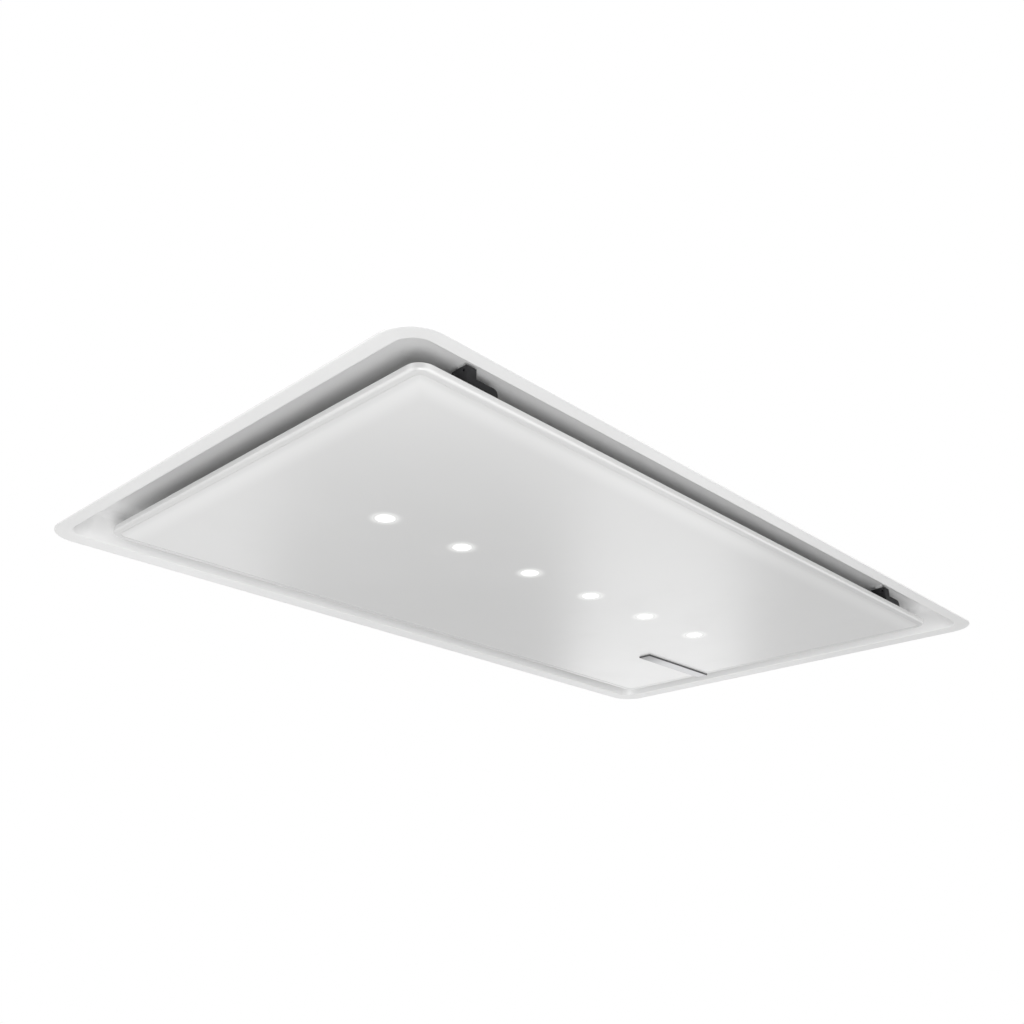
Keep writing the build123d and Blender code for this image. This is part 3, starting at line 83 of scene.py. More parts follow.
BOARD_TOP = 109.6
WHEEL_Z0, WHEEL_Z1 = 118.0, 222.0
BLOWER_X, BLOWER_Y = -40.0, 30.0

# Small forms that this script adds, in millimetres.
SEAL_Z, SEAL_OUT = -1.25, 0.2
SCREW_REACH = {"casing": 3.0, "bracket": 5.7, "box": 4.4}
RIVET_R, RIVET_TALL, RIVET_IN, RIVET_ZS = 3.2, 1.3, 46.0, (22.0, 52.0, 82.0)
VENT_OUT, VENT_PITCH, VENT_ROWS = 48.0, 9.0, range(-5, 6)

# Strength of the painted glow that the glass gives off just round a lamp.
HALO_GLOW = 0.26

# Bands across which a finish changes, from and to, in millimetres.
# Painted light up the recess walls, painted shade on the recess ceiling, grease blotches with painted shade
# deep in the recess.
WALL_LIGHT_Z, CEILING_SHADE_Z, GREASE_AND_SHADE_Z = (-1.0, 6.0), (30.0, 37.0), (12.0, 40.0)
# Painted highlight along two edges of the glass.
EDGE_HIGHLIGHT_START, EDGE_HIGHLIGHT_END = (2.0, 12.0), (14.0, 40.0)
HALO = (0.8 * LENS_R, 1.8 * LENS_R)
ROW_END = (2.95 * LAMP_PITCH, 3.05 * LAMP_PITCH)
# Painted light down the border's outer side; painted shade where the border meets the glass.
SIDE_LIGHT_BAND, GLASS_EDGE_SHADE_BAND = (5.5, 9.2), (-0.5, 3.0)
LAMP_CORE, PRISM_PITCH = (5.4, 14.6), 1.1
SLOT_START, SLOT_END, LAMINATION = (39.5, 40.0), (45.5, 46.0), 0.5
ON_BOARD = (BOARD_TOP + 0.2, BOARD_TOP + 0.6)
# Painted shade at the plate's inner end and on its bevels.
PLATE_SHADE, PLATE_BEVEL = (PLATE_LEFT - 20.0, PLATE_LEFT + 75.0), (0.4, 1.6)
TURNING_PITCH = 0.7


# Sizes and colours that a user may change.

def colour_field(name, description, default):
    return bpy.props.FloatVectorProperty(
        name=name, description=description, subtype="COLOR", size=3, min=0.0, max=1.0, default=default,
    )


def length_field(name, description, default):
    return bpy.props.FloatProperty(name=name, description=description, unit="LENGTH", default=default)


def number_field(name, description, default, low, high):
    return bpy.props.FloatProperty(name=name, description=description, min=low, max=high, default=default)


def count_field(name, description, default, low):
    return bpy.props.IntProperty(name=name, description=description, min=low, default=default)


class PaintSettings(bpy.types.PropertyGroup):
    flange: colour_field("Flange", "Paint of the flange", (0.785, 0.785, 0.782))
    border: colour_field("Panel border", "Paint of the panel's border", (0.585, 0.585, 0.582))
    glass: colour_field("Glass", "Lacquer behind the panel's glass", (0.64, 0.64, 0.637))
    bracket: colour_field("Catch posts", "Black coat of the two catch posts", (0.022, 0.022, 0.024))
    lamp_glow: number_field("Lamp glow", "How strongly the lamps shine", 1.25, 0.0, 50.0)


class ScrewSettings(bpy.types.PropertyGroup):
    head_radius: length_field("Head radius", "Radius of a screw's pan head", 3.6 * MM)
    head_height: length_field("Head height", "Height of a screw's pan head", 2.2 * MM)
    shank_radius: length_field("Shank radius", "Radius of a screw's shank", 1.95 * MM)
    recess_width: length_field("Recess width", "Width across the cross recess", 4.0 * MM)


class BaffleSettings(bpy.types.PropertyGroup):
    width: length_field("Width", "Width of one baffle channel", 24.0 * MM)
    pitch: length_field("Pitch", "Distance from one channel to the next", 36.0 * MM)
    lip: length_field("Lip", "Height of a channel's lips", 6.0 * MM)
    count: count_field("Count", "Channels in the lower row", 8, 2)


class WheelSettings(bpy.types.PropertyGroup):
    blades: count_field("Blades", "Blades round the blower wheel", 36, 3)
    rim_radius: length_field("Rim radius", "Outer radius of the wheel", 108.0 * MM)
    eye_radius: length_field("Eye radius", "Inner radius of the wheel's blades", 91.0 * MM)
    sheet: length_field("Sheet", "Thickness of the wheel's rings", 2.0 * MM)


class StageSettings(bpy.types.PropertyGroup):
    floor_height: length_field("Floor", "Height of the floor under the hood", -2.6)
    sky: number_field("Surroundings", "Brightness of the surroundings", 1.0, 0.0, 10.0)
    power: number_field("Light power", "Watts that each light takes its share of", 22.0, 0.0, 500.0)
    lens: bpy.props.FloatProperty(
        name="Lens", description="Focal length of the camera", subtype="DISTANCE_CAMERA", default=38.155,
    )


GROUPS = {
    "hood_paint": PaintSettings, "hood_screws": ScrewSettings, "hood_baffles": BaffleSettings,
    "hood_wheel": WheelSettings, "hood_stage": StageSettings,
}


# Node helpers.

def maths(operation, swapped=False):
    """A method that adds a Math node for a wire and what it is combined with."""
    def method(self, *others):
        values = (*others, self) if swapped else (self, *others)
        return self.owner.add("ShaderNodeMath", {"operation": operation}, dict(enumerate(values)))
    return method


class Wire:
    """An output of a node; arithmetic on it adds Math nodes."""

    def __init__(self, owner, socket):
        self.owner = owner
        self.socket = socket

    __add__ = __radd__ = maths("ADD")
    __sub__, __rsub__ = maths("SUBTRACT"), maths("SUBTRACT", swapped=True)
    __mul__ = maths("MULTIPLY")
    __truediv__, __rtruediv__ = maths("DIVIDE"), maths("DIVIDE", swapped=True)
    __mod__ = maths("MODULO")
    __abs__ = maths("ABSOLUTE")
    fract = maths("FRACT")
    root = maths("SQRT")
    lowest = maths("MINIMUM")
    above = maths("GREATER_THAN")
    below = maths("LESS_THAN")

    def ramp(self, low, high):
        """0 at low, 1 at high, smooth between them and level outside."""
        return self.owner.add("ShaderNodeMapRange", {"interpolation_type": "SMOOTHSTEP"}, {
            "Value": self, "From Min": low, "From Max": high, "To Min": 0.0, "To Max": 1.0,
        })

    def across(self, band):
        """The ramp of a length across a band, which is given in millimetres."""
        return self.ramp(band[0] * MM, band[1] * MM)


class Tree:
    """A node tree in the making."""

    def __init__(self, tree):
        self.tree = tree

    def add(self, kind, settings=None, sockets=None, output=0):
        """Add a node: its settings, then its sockets' values or wires. A list fills one socket in turn."""
        node = self.tree.nodes.new(kind)
        for name, value in (settings or {}).items():
            setattr(node, name, value)
        for key, value in (sockets or {}).items():
            for part in value if isinstance(value, list) else [value]:
                self.join(node.inputs[key], part)
        return Wire(self, node.outputs[output])

    def join(self, socket, value):
        if isinstance(value, Wire):
            self.tree.links.new(value.socket, socket)
        else:
            socket.default_value = value


# Finishes.

class Finish(Tree):
    """One procedural material in the making."""

    def __init__(self, name):
        self.material = bpy.data.materials.new(name)
        self.material.use_nodes = True
        super().__init__(self.material.node_tree)
        self.shader = next(n for n in self.tree.nodes if n.type == "BSDF_PRINCIPLED")
        self.place = self.add("ShaderNodeTexCoord", output="Object")

    def parts(self, kind, value):
        """The three outputs of a node that takes a vector or a colour apart."""
        node = self.tree.nodes.new(kind)
        self.join(node.inputs[0], value)
        return [Wire(self, output) for output in node.outputs]

    def axes(self, where=None):
        """X, Y and Z in metres, of the object or of other coordinates."""
        return self.parts("ShaderNodeSeparateXYZ", where or self.place)

    def stretched(self, scale, centre=NOWHERE):
        """Object coordinates, moved to a centre and scaled along each axis."""
        moved = self.add("ShaderNodeVectorMath", {"operation": "SUBTRACT"}, {0: self.place, 1: centre})
        return self.add("ShaderNodeVectorMath", {"operation": "MULTIPLY"}, {0: moved, 1: scale})

    def noise(self, scale, detail=2.0, roughness=0.5, where=None, output=0):
        return self.add("ShaderNodeTexNoise", {}, {
            "Vector": where or self.place, "Scale": scale, "Detail": detail, "Roughness": roughness,
        }, output)

    def cells(self, scale, where=None, feature="F1", output="Distance"):
        return self.add("ShaderNodeTexVoronoi", {"feature": feature}, {
            "Vector": where or self.place, "Scale": scale,
        }, output)

    def blend(self, factor, first, second):
        """A colour between two colours."""
        node = self.tree.nodes.new("ShaderNodeMix")
        node.data_type = "RGBA"
        self.join(node.inputs["Factor"], factor)
        for socket, value in zip([s for s in node.inputs if s.type == "RGBA"], (first, second)):
            self.join(socket, value if isinstance(value, Wire) else (*value, 1.0))
        return next(Wire(self, s) for s in node.outputs if s.type == "RGBA")

    def mottled(self, noise, colour, dark=0.985, light=1.01):
        """A colour that wanders between a darker and a lighter tone of itself."""
        return self.blend(noise.ramp(0.3, 0.7), shade(colour, dark), shade(colour, light))

    def bump(self, height, distance, strength):
        return self.add("ShaderNodeBump", {}, {"Height": height, "Distance": distance, "Strength": strength})

    def give(self, **sockets):
        """Set sockets of the surface shader, such as base_color, and return the finished material."""
        for key, value in sockets.items():
            if isinstance(value, tuple) and len(value) == 3:
                value = (*value, 1.0)
            socket = key.replace("_", " ").title().replace("Ior", "IOR")
            self.join(self.shader.inputs[socket], value)
        return self.material


def shade(colour, factor):
    """A colour made darker or lighter."""
    return tuple(min(1.0, c * factor) for c in colour)


def powder_coat(name, colour, roughness=0.42, peel=1.0, dust=0.03):
    """Sprayed and baked paint: slight orange peel, faint mottling, a little dust in patches."""
    f = Finish(name)
    fine = f.noise(620.0)
    speck = f.noise(2300.0, 1.0)
    dusty = f.noise(34.0, 5.0, 0.65).ramp(0.52, 0.78)
    tone = f.mottled(f.noise(7.0, 3.0), colour)
    tone = f.blend(dusty * dust, tone, shade(colour, 0.86))
    return f.give(
        base_color=tone,
        roughness=roughness + (fine - 0.5) * 0.10 + dusty * 0.08,
        normal=f.bump(fine * 0.7 + speck * 0.3, 0.00012 * peel, 0.35),
        coat_roughness=0.25, ior=1.5,
    )


def flange_paint(name, colour):
    """White coat of the flange, with painted light on the recess walls, painted shade on the recess ceiling,
    and grease blotches mixed with painted shade deep in the recess.
    """
    f = Finish(name)
    z = f.axes()[2]
    fine = f.noise(640.0)
    # Grease blotches that are also painted shade: they darken only deep in the recess.
    grease = f.noise(26.0, 5.0, 0.6).ramp(0.5, 0.8) * z.across(GREASE_AND_SHADE_Z)
    tone = f.mottled(f.noise(6.0, 3.0), colour)
    tone = f.blend(grease * 0.06, tone, (0.56, 0.56, 0.54))
    # Painted light: the recess walls are painted a little paler.
    tone = f.blend(z.across(WALL_LIGHT_Z), tone, (0.815, 0.815, 0.813))
    # Painted shade: the recess ceiling is painted greyer.
    tone = f.blend(z.across(CEILING_SHADE_Z), tone, (0.77, 0.77, 0.77))
    return f.give(
        base_color=tone,
        roughness=0.40 + (fine - 0.5) * 0.10 + grease * 0.10,
        normal=f.bump(fine, 0.00010, 0.30), ior=1.5,
    )


def from_lamp(x, y):
    """Distance from the nearest lamp's centre."""
    step = LAMP_PITCH * MM
    beside = ((x / step).fract() - 0.5) * step
    return (beside * beside + y * y).root()


def lacquered_glass(name, colour, glow):
    """White lacquer behind satin glass, with a painted highlight along two edges and a painted glow just
    round each lamp.
    """
    f = Finish(name)
    x, y = f.axes()[:2]
    near = (GLASS_X / 2 * MM + x).lowest(GLASS_Y / 2 * MM + y)
    # Painted highlight along the glass's two near edges.
    rim = near.across(EDGE_HIGHLIGHT_START) * (1.0 - near.across(EDGE_HIGHLIGHT_END))
    ripple = f.noise(3.2)
    fine = f.noise(420.0)
    smear = f.noise(11.0, 5.0, 0.62).ramp(0.46, 0.74)
    in_row = 1.0 - abs(x).across(ROW_END)
    # Painted glow: the glass gives off light just round each lamp, though it is no lamp.
    halo = (1.0 - from_lamp(x, y).across(HALO)) * in_row
    tone = f.mottled(ripple, colour)
    tone = f.blend(rim * 0.8, tone, shade(colour, 1.14))
    return f.give(
        base_color=tone,
        roughness=0.30 + smear * 0.05 + (fine - 0.5) * 0.06,
        coat_weight=0.75 + smear * -0.08, coat_roughness=0.28,
        normal=f.bump(ripple, 0.0006, 0.10),
        emission_color=f.blend(halo * halo, BLACK, (1.0, 1.0, 0.99)),
        emission_strength=glow, ior=1.52,
    )


def border_coat(name, colour):
    """Satin coat of the panel's border: painted light down its outer side, painted shade where it meets the
    glass.
    """
    f = Finish(name)
    x, y = f.axes()[:2]
    out_x = GLASS_X / 2 * MM - abs(x)
    out_y = GLASS_Y / 2 * MM - abs(y)
    beyond = 0.0 - out_x.lowest(out_y)
    fine = f.noise(620.0)
    tone = f.mottled(f.noise(7.0, 3.0), colour)
    # Painted light: the border's outer side is painted paler.
    tone = f.blend(beyond.across(SIDE_LIGHT_BAND), tone, shade(colour, 1.34))
    # Painted shade: the border is painted darker where it meets the glass.
    tone = f.blend((1.0 - beyond.across(GLASS_EDGE_SHADE_BAND)) * 0.5, tone, shade(colour, 0.92))
    return f.give(
        base_color=tone, roughness=0.34 + (fine - 0.5) * 0.10, coat_weight=0.75,
        coat_roughness=0.28, normal=f.bump(fine, 0.00008, 0.3), ior=1.5,
    )


def lamp_lens(name, glow):
    """Frosted lamp lens, brightest over the light source and with faint prism rings."""
    f = Finish(name)
    x, y = f.axes()[:2]
    radius = from_lamp(x, y)
    rings = (radius / (PRISM_PITCH * MM)).fract().ramp(0.0, 1.0)
    core = 1.0 - radius.across(LAMP_CORE)
    return f.give(
        base_color=f.blend(core, (0.62, 0.62, 0.617), (0.95, 0.95, 0.94)),
        roughness=0.28 + rings * 0.12, normal=f.bump(rings, 0.0002, 0.4),
        emission_color=f.blend(core, (0.13, 0.13, 0.129), (1.0, 1.0, 0.99)),
        emission_strength=glow,
    )


def galvanised(name, colour, spangle=78.0):
    """Hot-dip zinc: crystal spangles that differ in tone and gloss, with drawn and handled marks."""
    f = Finish(name)
    drift = f.add("ShaderNodeVectorMath", {"operation": "SCALE"}, {
        0: f.noise(60.0, output="Color"), "Scale": 0.006,
    })
    warped = f.add("ShaderNodeVectorMath", {"operation": "ADD"}, {0: f.place, 1: drift})
    grain, other = f.parts("ShaderNodeSeparateColor", f.cells(spangle, warped, output="Color"))[:2]
    bloom = f.noise(9.0, 5.0, 0.6).ramp(0.48, 0.75)
    scuff = f.noise(70.0, 3.0, 0.6, f.stretched((1.0, 0.12, 1.0))).ramp(0.60, 0.80)
    fine = f.noise(900.0)
    tone = f.blend(grain, shade(colour, 0.91), shade(colour, 1.07))
    tone = f.blend(bloom * 0.35, tone, (0.74, 0.75, 0.76))
    tone = f.blend(scuff * 0.25, tone, shade(colour, 0.78))
    return f.give(
        base_color=tone, metallic=0.86 - bloom * 0.16,
        roughness=0.34 + other * 0.16 + bloom * 0.14,
        normal=f.bump(fine * 0.5 + grain * 0.5, 0.00012, 0.25),
    )


def brushed(name, colour, grain=(9.0, 1400.0, 1400.0), roughness=0.30, contrast=0.12):
    """Brushed metal: long fine scratches along one axis, cloudy handling marks."""
    f = Finish(name)
    lines = f.noise(1.0, 3.0, 0.55, f.stretched(grain))
    hairs = f.noise(1.0, 1.0, 0.5, f.stretched(tuple(3.1 * g for g in grain)))
    cloud = f.noise(14.0, 4.0, 0.6).ramp(0.45, 0.75)
    tone = f.blend(lines.ramp(0.25, 0.75), shade(colour, 1 - contrast), shade(colour, 1 + contrast * 0.6))
    tone = f.blend(cloud * 0.12, tone, shade(colour, 0.80))
    return f.give(
        base_color=tone, metallic=1.0,
        roughness=roughness + (lines - 0.5) * 0.16 + cloud * 0.06,
        normal=f.bump(lines * 0.6 + hairs * 0.4, 0.00005, 0.35),
    )


def turned(name, colour, centre, roughness=0.26):
    """Lathe-turned metal: fine rings round an upright axis."""
    f = Finish(name)
    x, y, z = f.axes(f.stretched((1.0, 1.0, 1.0), centre))
    across = f.add("ShaderNodeCombineXYZ", {}, {0: (x * x + y * y).root(), 1: z})
    rings = f.noise(1.0 / (TURNING_PITCH * MM), 2.0, 0.5, across)
    smudge = f.noise(30.0, 4.0, 0.6).ramp(0.45, 0.8)
    tone = f.blend(rings, shade(colour, 0.88), shade(colour, 1.08))
    tone = f.blend(smudge * 0.2, tone, shade(colour, 0.7))
    return f.give(
        base_color=tone, metallic=1.0, roughness=roughness + rings * 0.12 + smudge * 0.08,
        normal=f.bump(rings, 0.00006, 0.4),
    )


def moulded(name, colour, roughness=0.48, texture=1800.0):
    """Moulded plastic: fine spark-eroded texture, flow marks and light scuffs."""
    f = Finish(name)
    skin = f.cells(texture, feature="SMOOTH_F1")
    scuff = f.noise(80.0, 4.0, 0.6).ramp(0.62, 0.80)
    tone = f.mottled(f.noise(9.0, 3.0), colour, 0.96, 1.04)
    tone = f.blend(scuff * 0.10, tone, tuple(0.5 * c + 0.25 for c in colour))
    return f.give(
        base_color=tone,
        roughness=roughness + (skin - 0.4) * 0.12 + scuff * 0.08,
        normal=f.bump(skin, 0.00008, 0.5), ior=1.48,
    )


def rubber(name, colour):
    """Soft black rubber with bloom and moulding dust."""
    f = Finish(name)
    bloom = f.noise(60.0, 5.0, 0.65).ramp(0.45, 0.8)
    skin = f.noise(1500.0)
    return f.give(
        base_color=f.blend(bloom * 0.35, colour, (0.16, 0.155, 0.15)),
        roughness=0.72 + bloom * 0.15, normal=f.bump(skin, 0.0001, 0.5), sheen_weight=0.15,
    )


def cast_alloy(name, colour):
    """Die-cast alloy: pebbled skin with darker hollows and polished high spots."""
    f = Finish(name)
    skin = f.noise(420.0, 4.0, 0.6)
    patch = f.noise(26.0, 4.0, 0.6).ramp(0.42, 0.75)
    tone = f.mottled(skin, colour, 0.80, 1.08)
    tone = f.blend(patch * 0.3, tone, shade(colour, 0.72))
    return f.give(
        base_color=tone, metallic=0.92, roughness=0.46 + (skin - 0.5) * 0.25 + patch * 0.08,
        normal=f.bump(skin, 0.00025, 0.5),
    )


def stacked_sheets(name, colour, centre):
    """Stacked lamination sheets, with varnished copper showing in the slots."""
    f = Finish(name)
    x, y, z = f.axes(f.stretched((1.0, 1.0, 1.0), centre))
    radius = (x * x + y * y).root()
    layers = (z / (LAMINATION * MM)).fract().ramp(0.0, 1.0)
    copper = radius.across(SLOT_START) * (1.0 - radius.across(SLOT_END))
    turns = f.noise(900.0)
    steel = f.blend(layers, shade(colour, 0.7), shade(colour, 1.15))
    wound = f.blend(turns.ramp(0.3, 0.7), (0.30, 0.11, 0.04), (0.62, 0.27, 0.11))
    return f.give(
        base_color=f.blend(copper, steel, wound),
        metallic=0.9, roughness=0.42 + layers * 0.12,
        normal=f.bump(layers + turns * 0.4, 0.0002, 0.5),
    )


def circuit_board(name, colour):
    """Green solder mask with copper tracks; what stands on the board is dark plastic or tin."""
    f = Finish(name)
    z = f.axes()[2]
    tracks = f.add("ShaderNodeTexBrick", {"offset": 0.37, "squash": 1.6}, {
        "Vector": f.place, "Scale": 160.0, "Mortar Size": 0.035, "Mortar Smooth": 0.1,
    }, "Fac")
    pads = 1.0 - f.cells(210.0).ramp(0.10, 0.14)
    mask = f.blend(tracks, colour, shade(colour, 1.9))
    mask = f.blend(pads * 0.8, mask, (0.75, 0.73, 0.68))
    raised = z.across(ON_BOARD)
    tin = f.noise(40.0).ramp(0.45, 0.55)
    parts = f.blend(tin, (0.035, 0.035, 0.04), (0.30, 0.17, 0.05))
    return f.give(
        base_color=f.blend(raised, mask, parts), roughness=0.32 + raised * 0.2,
        normal=f.bump(tracks + pads, 0.00006, 0.6),
    )


def nickel(name, colour):
    """Nickel plate with small nicks and finger marks."""
    f = Finish(name)
    cloud = f.noise(90.0, 4.0, 0.6).ramp(0.4, 0.75)
    nick = 1.0 - f.cells(520.0).ramp(0.05, 0.16)
    return f.give(
        base_color=f.blend(cloud * 0.3 + nick * 0.4, colour, shade(colour, 0.6)),
        metallic=1.0, roughness=0.16 + cloud * 0.12 + nick * 0.2,
        normal=f.bump(nick, 0.0001, -0.5),
    )


def plate_metal(name, colour):
    """Fine brushed metal of the small bare plate, with painted shade at its inner end and on its bevels."""
    f = Finish(name)
    x, y = f.axes()[:2]
    lines = f.noise(1.0, 3.0, 0.55, f.stretched((14.0, 2600.0, 2600.0)))
    # Painted shade at the plate's inner end.
    end_shade = 1.0 - x.across(PLATE_SHADE)
    side = (PLATE_RIGHT * MM - x).lowest(PLATE_WIDE / 2 * MM - abs(y - PLATE_Y * MM))
    # Painted shade on the plate's bevels.
    bevel_shade = 1.0 - side.lowest(x - PLATE_LEFT * MM).across(PLATE_BEVEL)
    tone = f.blend(lines.ramp(0.25, 0.75), shade(colour, 0.93), shade(colour, 1.05))
    tone = f.blend(end_shade, tone, shade(colour, 0.34))
    tone = f.blend(bevel_shade * 0.85, tone, shade(colour, 0.22))
    return f.give(
        base_color=tone, metallic=1.0, roughness=0.40 + (lines - 0.5) * 0.10 + bevel_shade * 0.1,
        normal=f.bump(lines, 0.00004, 0.3),
    )


def dress(material, *names):
    """Give a material to solids that keep their own shape."""
    for name in names:
        mesh = NODES[name].data
        mesh.materials.clear()
        mesh.materials.append(material)


def like(start):
    """The names of the solids that start with these letters."""
    return [name for name in NODES if name.startswith(start)]


# Geometry.

class Recipe(Tree):
    """A geometry node tree in the making, with named inputs."""

    def __init__(self, name):
        super().__init__(bpy.data.node_groups.new(name, "GeometryNodeTree"))
        for way in ("INPUT", "OUTPUT"):
            self.tree.interface.new_socket(name="Geometry", in_out=way, socket_type="NodeSocketGeometry")
        self.ids = {}
        self.begin = self.tree.nodes.new("NodeGroupInput")
        self.end = self.tree.nodes.new("NodeGroupOutput")

    def size(self, name, default, kind="Float"):
        """A named input, as a wire."""
        item = self.tree.interface.new_socket(name=name, in_out="INPUT", socket_type="NodeSocket" + kind)
        item.default_value = default
        self.ids[name] = item.identifier
        return Wire(self, self.begin.outputs[name])

    def vector(self, x=0.0, y=0.0, z=0.0):
        return self.add("ShaderNodeCombineXYZ", {}, {0: x, 1: y, 2: z})

    def ball(self, segments, rings, radius, x, y, z):
        """A ball, scaled along each axis."""
        ball = self.add("GeometryNodeMeshUVSphere", {}, {
            "Segments": segments, "Rings": rings, "Radius": radius,
        })
        return self.add("GeometryNodeTransform", {}, {"Geometry": ball, "Scale": self.vector(x, y, z)})

    def block(self, x, y, z):
        return self.add("GeometryNodeMeshCube", {}, {"Size": self.vector(x, y, z)})

    def rod(self, sides, radius, length):
        return self.add("GeometryNodeMeshCylinder", {}, {
            "Vertices": sides, "Radius": radius, "Depth": length,
        })

    def rectangle(self, width, height):
        return self.add("GeometryNodeCurvePrimitiveQuadrilateral", {}, {"Width": width, "Height": height})

    def circle(self, points, radius):
        return self.add("GeometryNodeCurvePrimitiveCircle", {"mode": "RADIUS"}, {
            "Resolution": points, "Radius": radius,
        })

    def rounded(self, curve, steps, radius):
        """A curve with its corners rounded."""
        return self.add("GeometryNodeFilletCurve", {"mode": "POLY"}, {
            "Curve": curve, "Count": steps, "Radius": radius,
        })

    def upright(self, curve):
        """A curve whose section stands upright."""
        return self.add("GeometryNodeSetCurveNormal", {"mode": "Z_UP"}, {"Curve": curve})

    def swept(self, curve, section, capped=False):
        return self.add("GeometryNodeCurveToMesh", {}, {
            "Curve": curve, "Profile Curve": section, "Fill Caps": capped,
        })

    def line(self, count, start, step):
        return self.add("GeometryNodeMeshLine", {"mode": "OFFSET"}, {
            "Count": count, "Start Location": start, "Offset": step,
        })

    def moved(self, geometry, offset, turn=NOWHERE):
        return self.add("GeometryNodeTransform", {}, {
            "Geometry": geometry, "Translation": offset, "Rotation": turn,
        })

    def lifted(self, geometry, height, turn=NOWHERE):
        return self.moved(geometry, self.vector(z=height), turn)

    def together(self, *parts):
        return self.add("GeometryNodeJoinGeometry", {}, {0: list(parts)})

    def cut(self, body, *tools):
        """The body less the tools."""
        return self.add("GeometryNodeMeshBoolean", {"operation": "DIFFERENCE", "solver": "EXACT"}, {
            "Mesh 1": body, "Mesh 2": list(tools),
        }, "Mesh")

    def spread(self, instance, turn=NOWHERE, points=None):
        """The instance at every point, or at every point that the recipe is given."""
        return self.add("GeometryNodeInstanceOnPoints", {}, {
            "Points": points or Wire(self, self.begin.outputs["Geometry"]),
            "Instance": instance, "Rotation": turn,
        })

    def finish(self, geometry, material):
        """End the tree in real geometry with its material."""
        real = self.add("GeometryNodeRealizeInstances", {}, {"Geometry": geometry})
        done = self.add("GeometryNodeSetMaterial", {}, {"Geometry": real, "Material": material})
        self.join(self.end.inputs[0], done)
        return self


def put(name, data):
    """A new object in the scene."""
    thing = bpy.data.objects.new(name, data)
    bpy.context.scene.collection.objects.link(thing)
    return thing


def make(name, recipe, values, points=()):
    """Run a recipe on a mesh of points and return the plain mesh object that it gives."""
    seed = bpy.data.meshes.new(name + "_points")
    seed.from_pydata(list(points), [], [])
    maker = put(name + "_maker", seed)
    modifier = maker.modifiers.new("recipe", "NODES")
    modifier.node_group = recipe.tree
    for key, value in values.items():
        modifier[recipe.ids[key]] = value
    evaluated = maker.evaluated_get(bpy.context.evaluated_depsgraph_get())
    mesh = bpy.data.meshes.new_from_object(evaluated)
    mesh.name = name
    maker.modifiers.remove(modifier)
    bpy.data.objects.remove(maker)
    bpy.data.meshes.remove(seed)
    if not mesh.polygons:
        raise RuntimeError(f"{name} came out empty")
    return put(name, mesh)


def settle(piece, body, slot, *replaced):
    """Hand a finished piece to its body and hide the solids that it stands for; the finish slot is not used.
    """
    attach(piece, body)
    if replaced:
        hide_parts(*replaced)


def along(length, count):
    """Evenly spaced places along a side of this length, centred on zero."""
    step = length / count
    return [step * (i + 0.5) - length / 2 for i in range(count)]


def perimeter(half_x, half_y, count_x, count_y):
    """Places round a rectangle."""
    places = [(x, side * half_y) for x in along(2 * half_x, count_x) for side in (-1, 1)]
    return places + [(side * half_x, y) for y in along(2 * half_y, count_y) for side in (-1, 1)]


def metres(*lengths):
    """Millimetres in metres."""
    return tuple(v * MM for v in lengths)


def chosen(group):
    """What a user chose in a group of settings, by the names of a recipe's inputs."""
    return {key.replace("_", " ").capitalize(): getattr(group, key) for key in type(group).__annotations__}


# Operators, one for each group of pieces.

class HOOD_OT_flange(bpy.types.Operator):
    """Paint the flange and the recess"""

    bl_idname = "hood.flange"
    bl_label = "Flange and recess"

    def execute(self, context):
        paint = context.scene.hood_paint
        dress(flange_paint("Satin white coat", tuple(paint.flange)), "ceiling_frame")
        return {"FINISHED"}


class HOOD_OT_panel(bpy.types.Operator):
    """Finish the hinged panel: painted border, lacquered glass, backing sheet and sealing bead"""

    bl_idname = "hood.panel"
    bl_label = "Hinged panel"

    def execute(self, context):
        paint = context.scene.hood_paint
        dress(border_coat("White border coat", tuple(paint.border)), "panel_frame")
        dress(lacquered_glass("White lacquered glass", tuple(paint.glass), HALO_GLOW), "panel_glass")
        dress(powder_coat("Backing sheet", (0.74, 0.74, 0.735), 0.5), "panel_backing")
        bead = make("glass_seal", self.seal(moulded("White sealing bead", (0.66, 0.66, 0.655), 0.4)), {
            "Length": GLASS_X * MM, "Width": GLASS_Y * MM, "Height": SEAL_Z * MM,
        })
        settle(bead, "panel", "panel_paint")
        return {"FINISHED"}

    def seal(self, material):
        """A thin bead in the gap between the border and the glass."""
        r = Recipe("Sealing bead")
        length = r.size("Length", 1.0612)
        width = r.size("Width", 0.5712)
        height = r.size("Height", 0.0)
        thick = r.size("Bead radius", 0.0006)
        corner = r.size("Corner radius", 0.0106)
        wider = 2 * SEAL_OUT * MM
        path = r.rounded(r.rectangle(length + wider, width + wider), 10, corner)
        return r.finish(r.lifted(r.swept(path, r.circle(10, thick)), height), material)


class HOOD_OT_lamps(bpy.types.Operator):
    """Light the lamp lenses and finish the heat sinks behind them"""

    bl_idname = "hood.lamps"
    bl_label = "Lamps"

    def execute(self, context):
        glow = context.scene.hood_paint.lamp_glow
        dress(lamp_lens("Lit frosted lens", glow), *like("led_lens"))
        drawn = brushed("Extruded heat sink", (0.72, 0.73, 0.74), (1600.0, 12.0, 1600.0), 0.38, 0.10)
        dress(drawn, "led_modules")
        return {"FINISHED"}


class HOOD_OT_plate(bpy.types.Operator):
    """Finish the small bare metal plate over the panel's edge"""

    bl_idname = "hood.plate"
    bl_label = "Metal plate"

    def execute(self, context):
        dress(plate_metal("Fine brushed plate", (0.58, 0.58, 0.59)), "trim_plate")
        return {"FINISHED"}


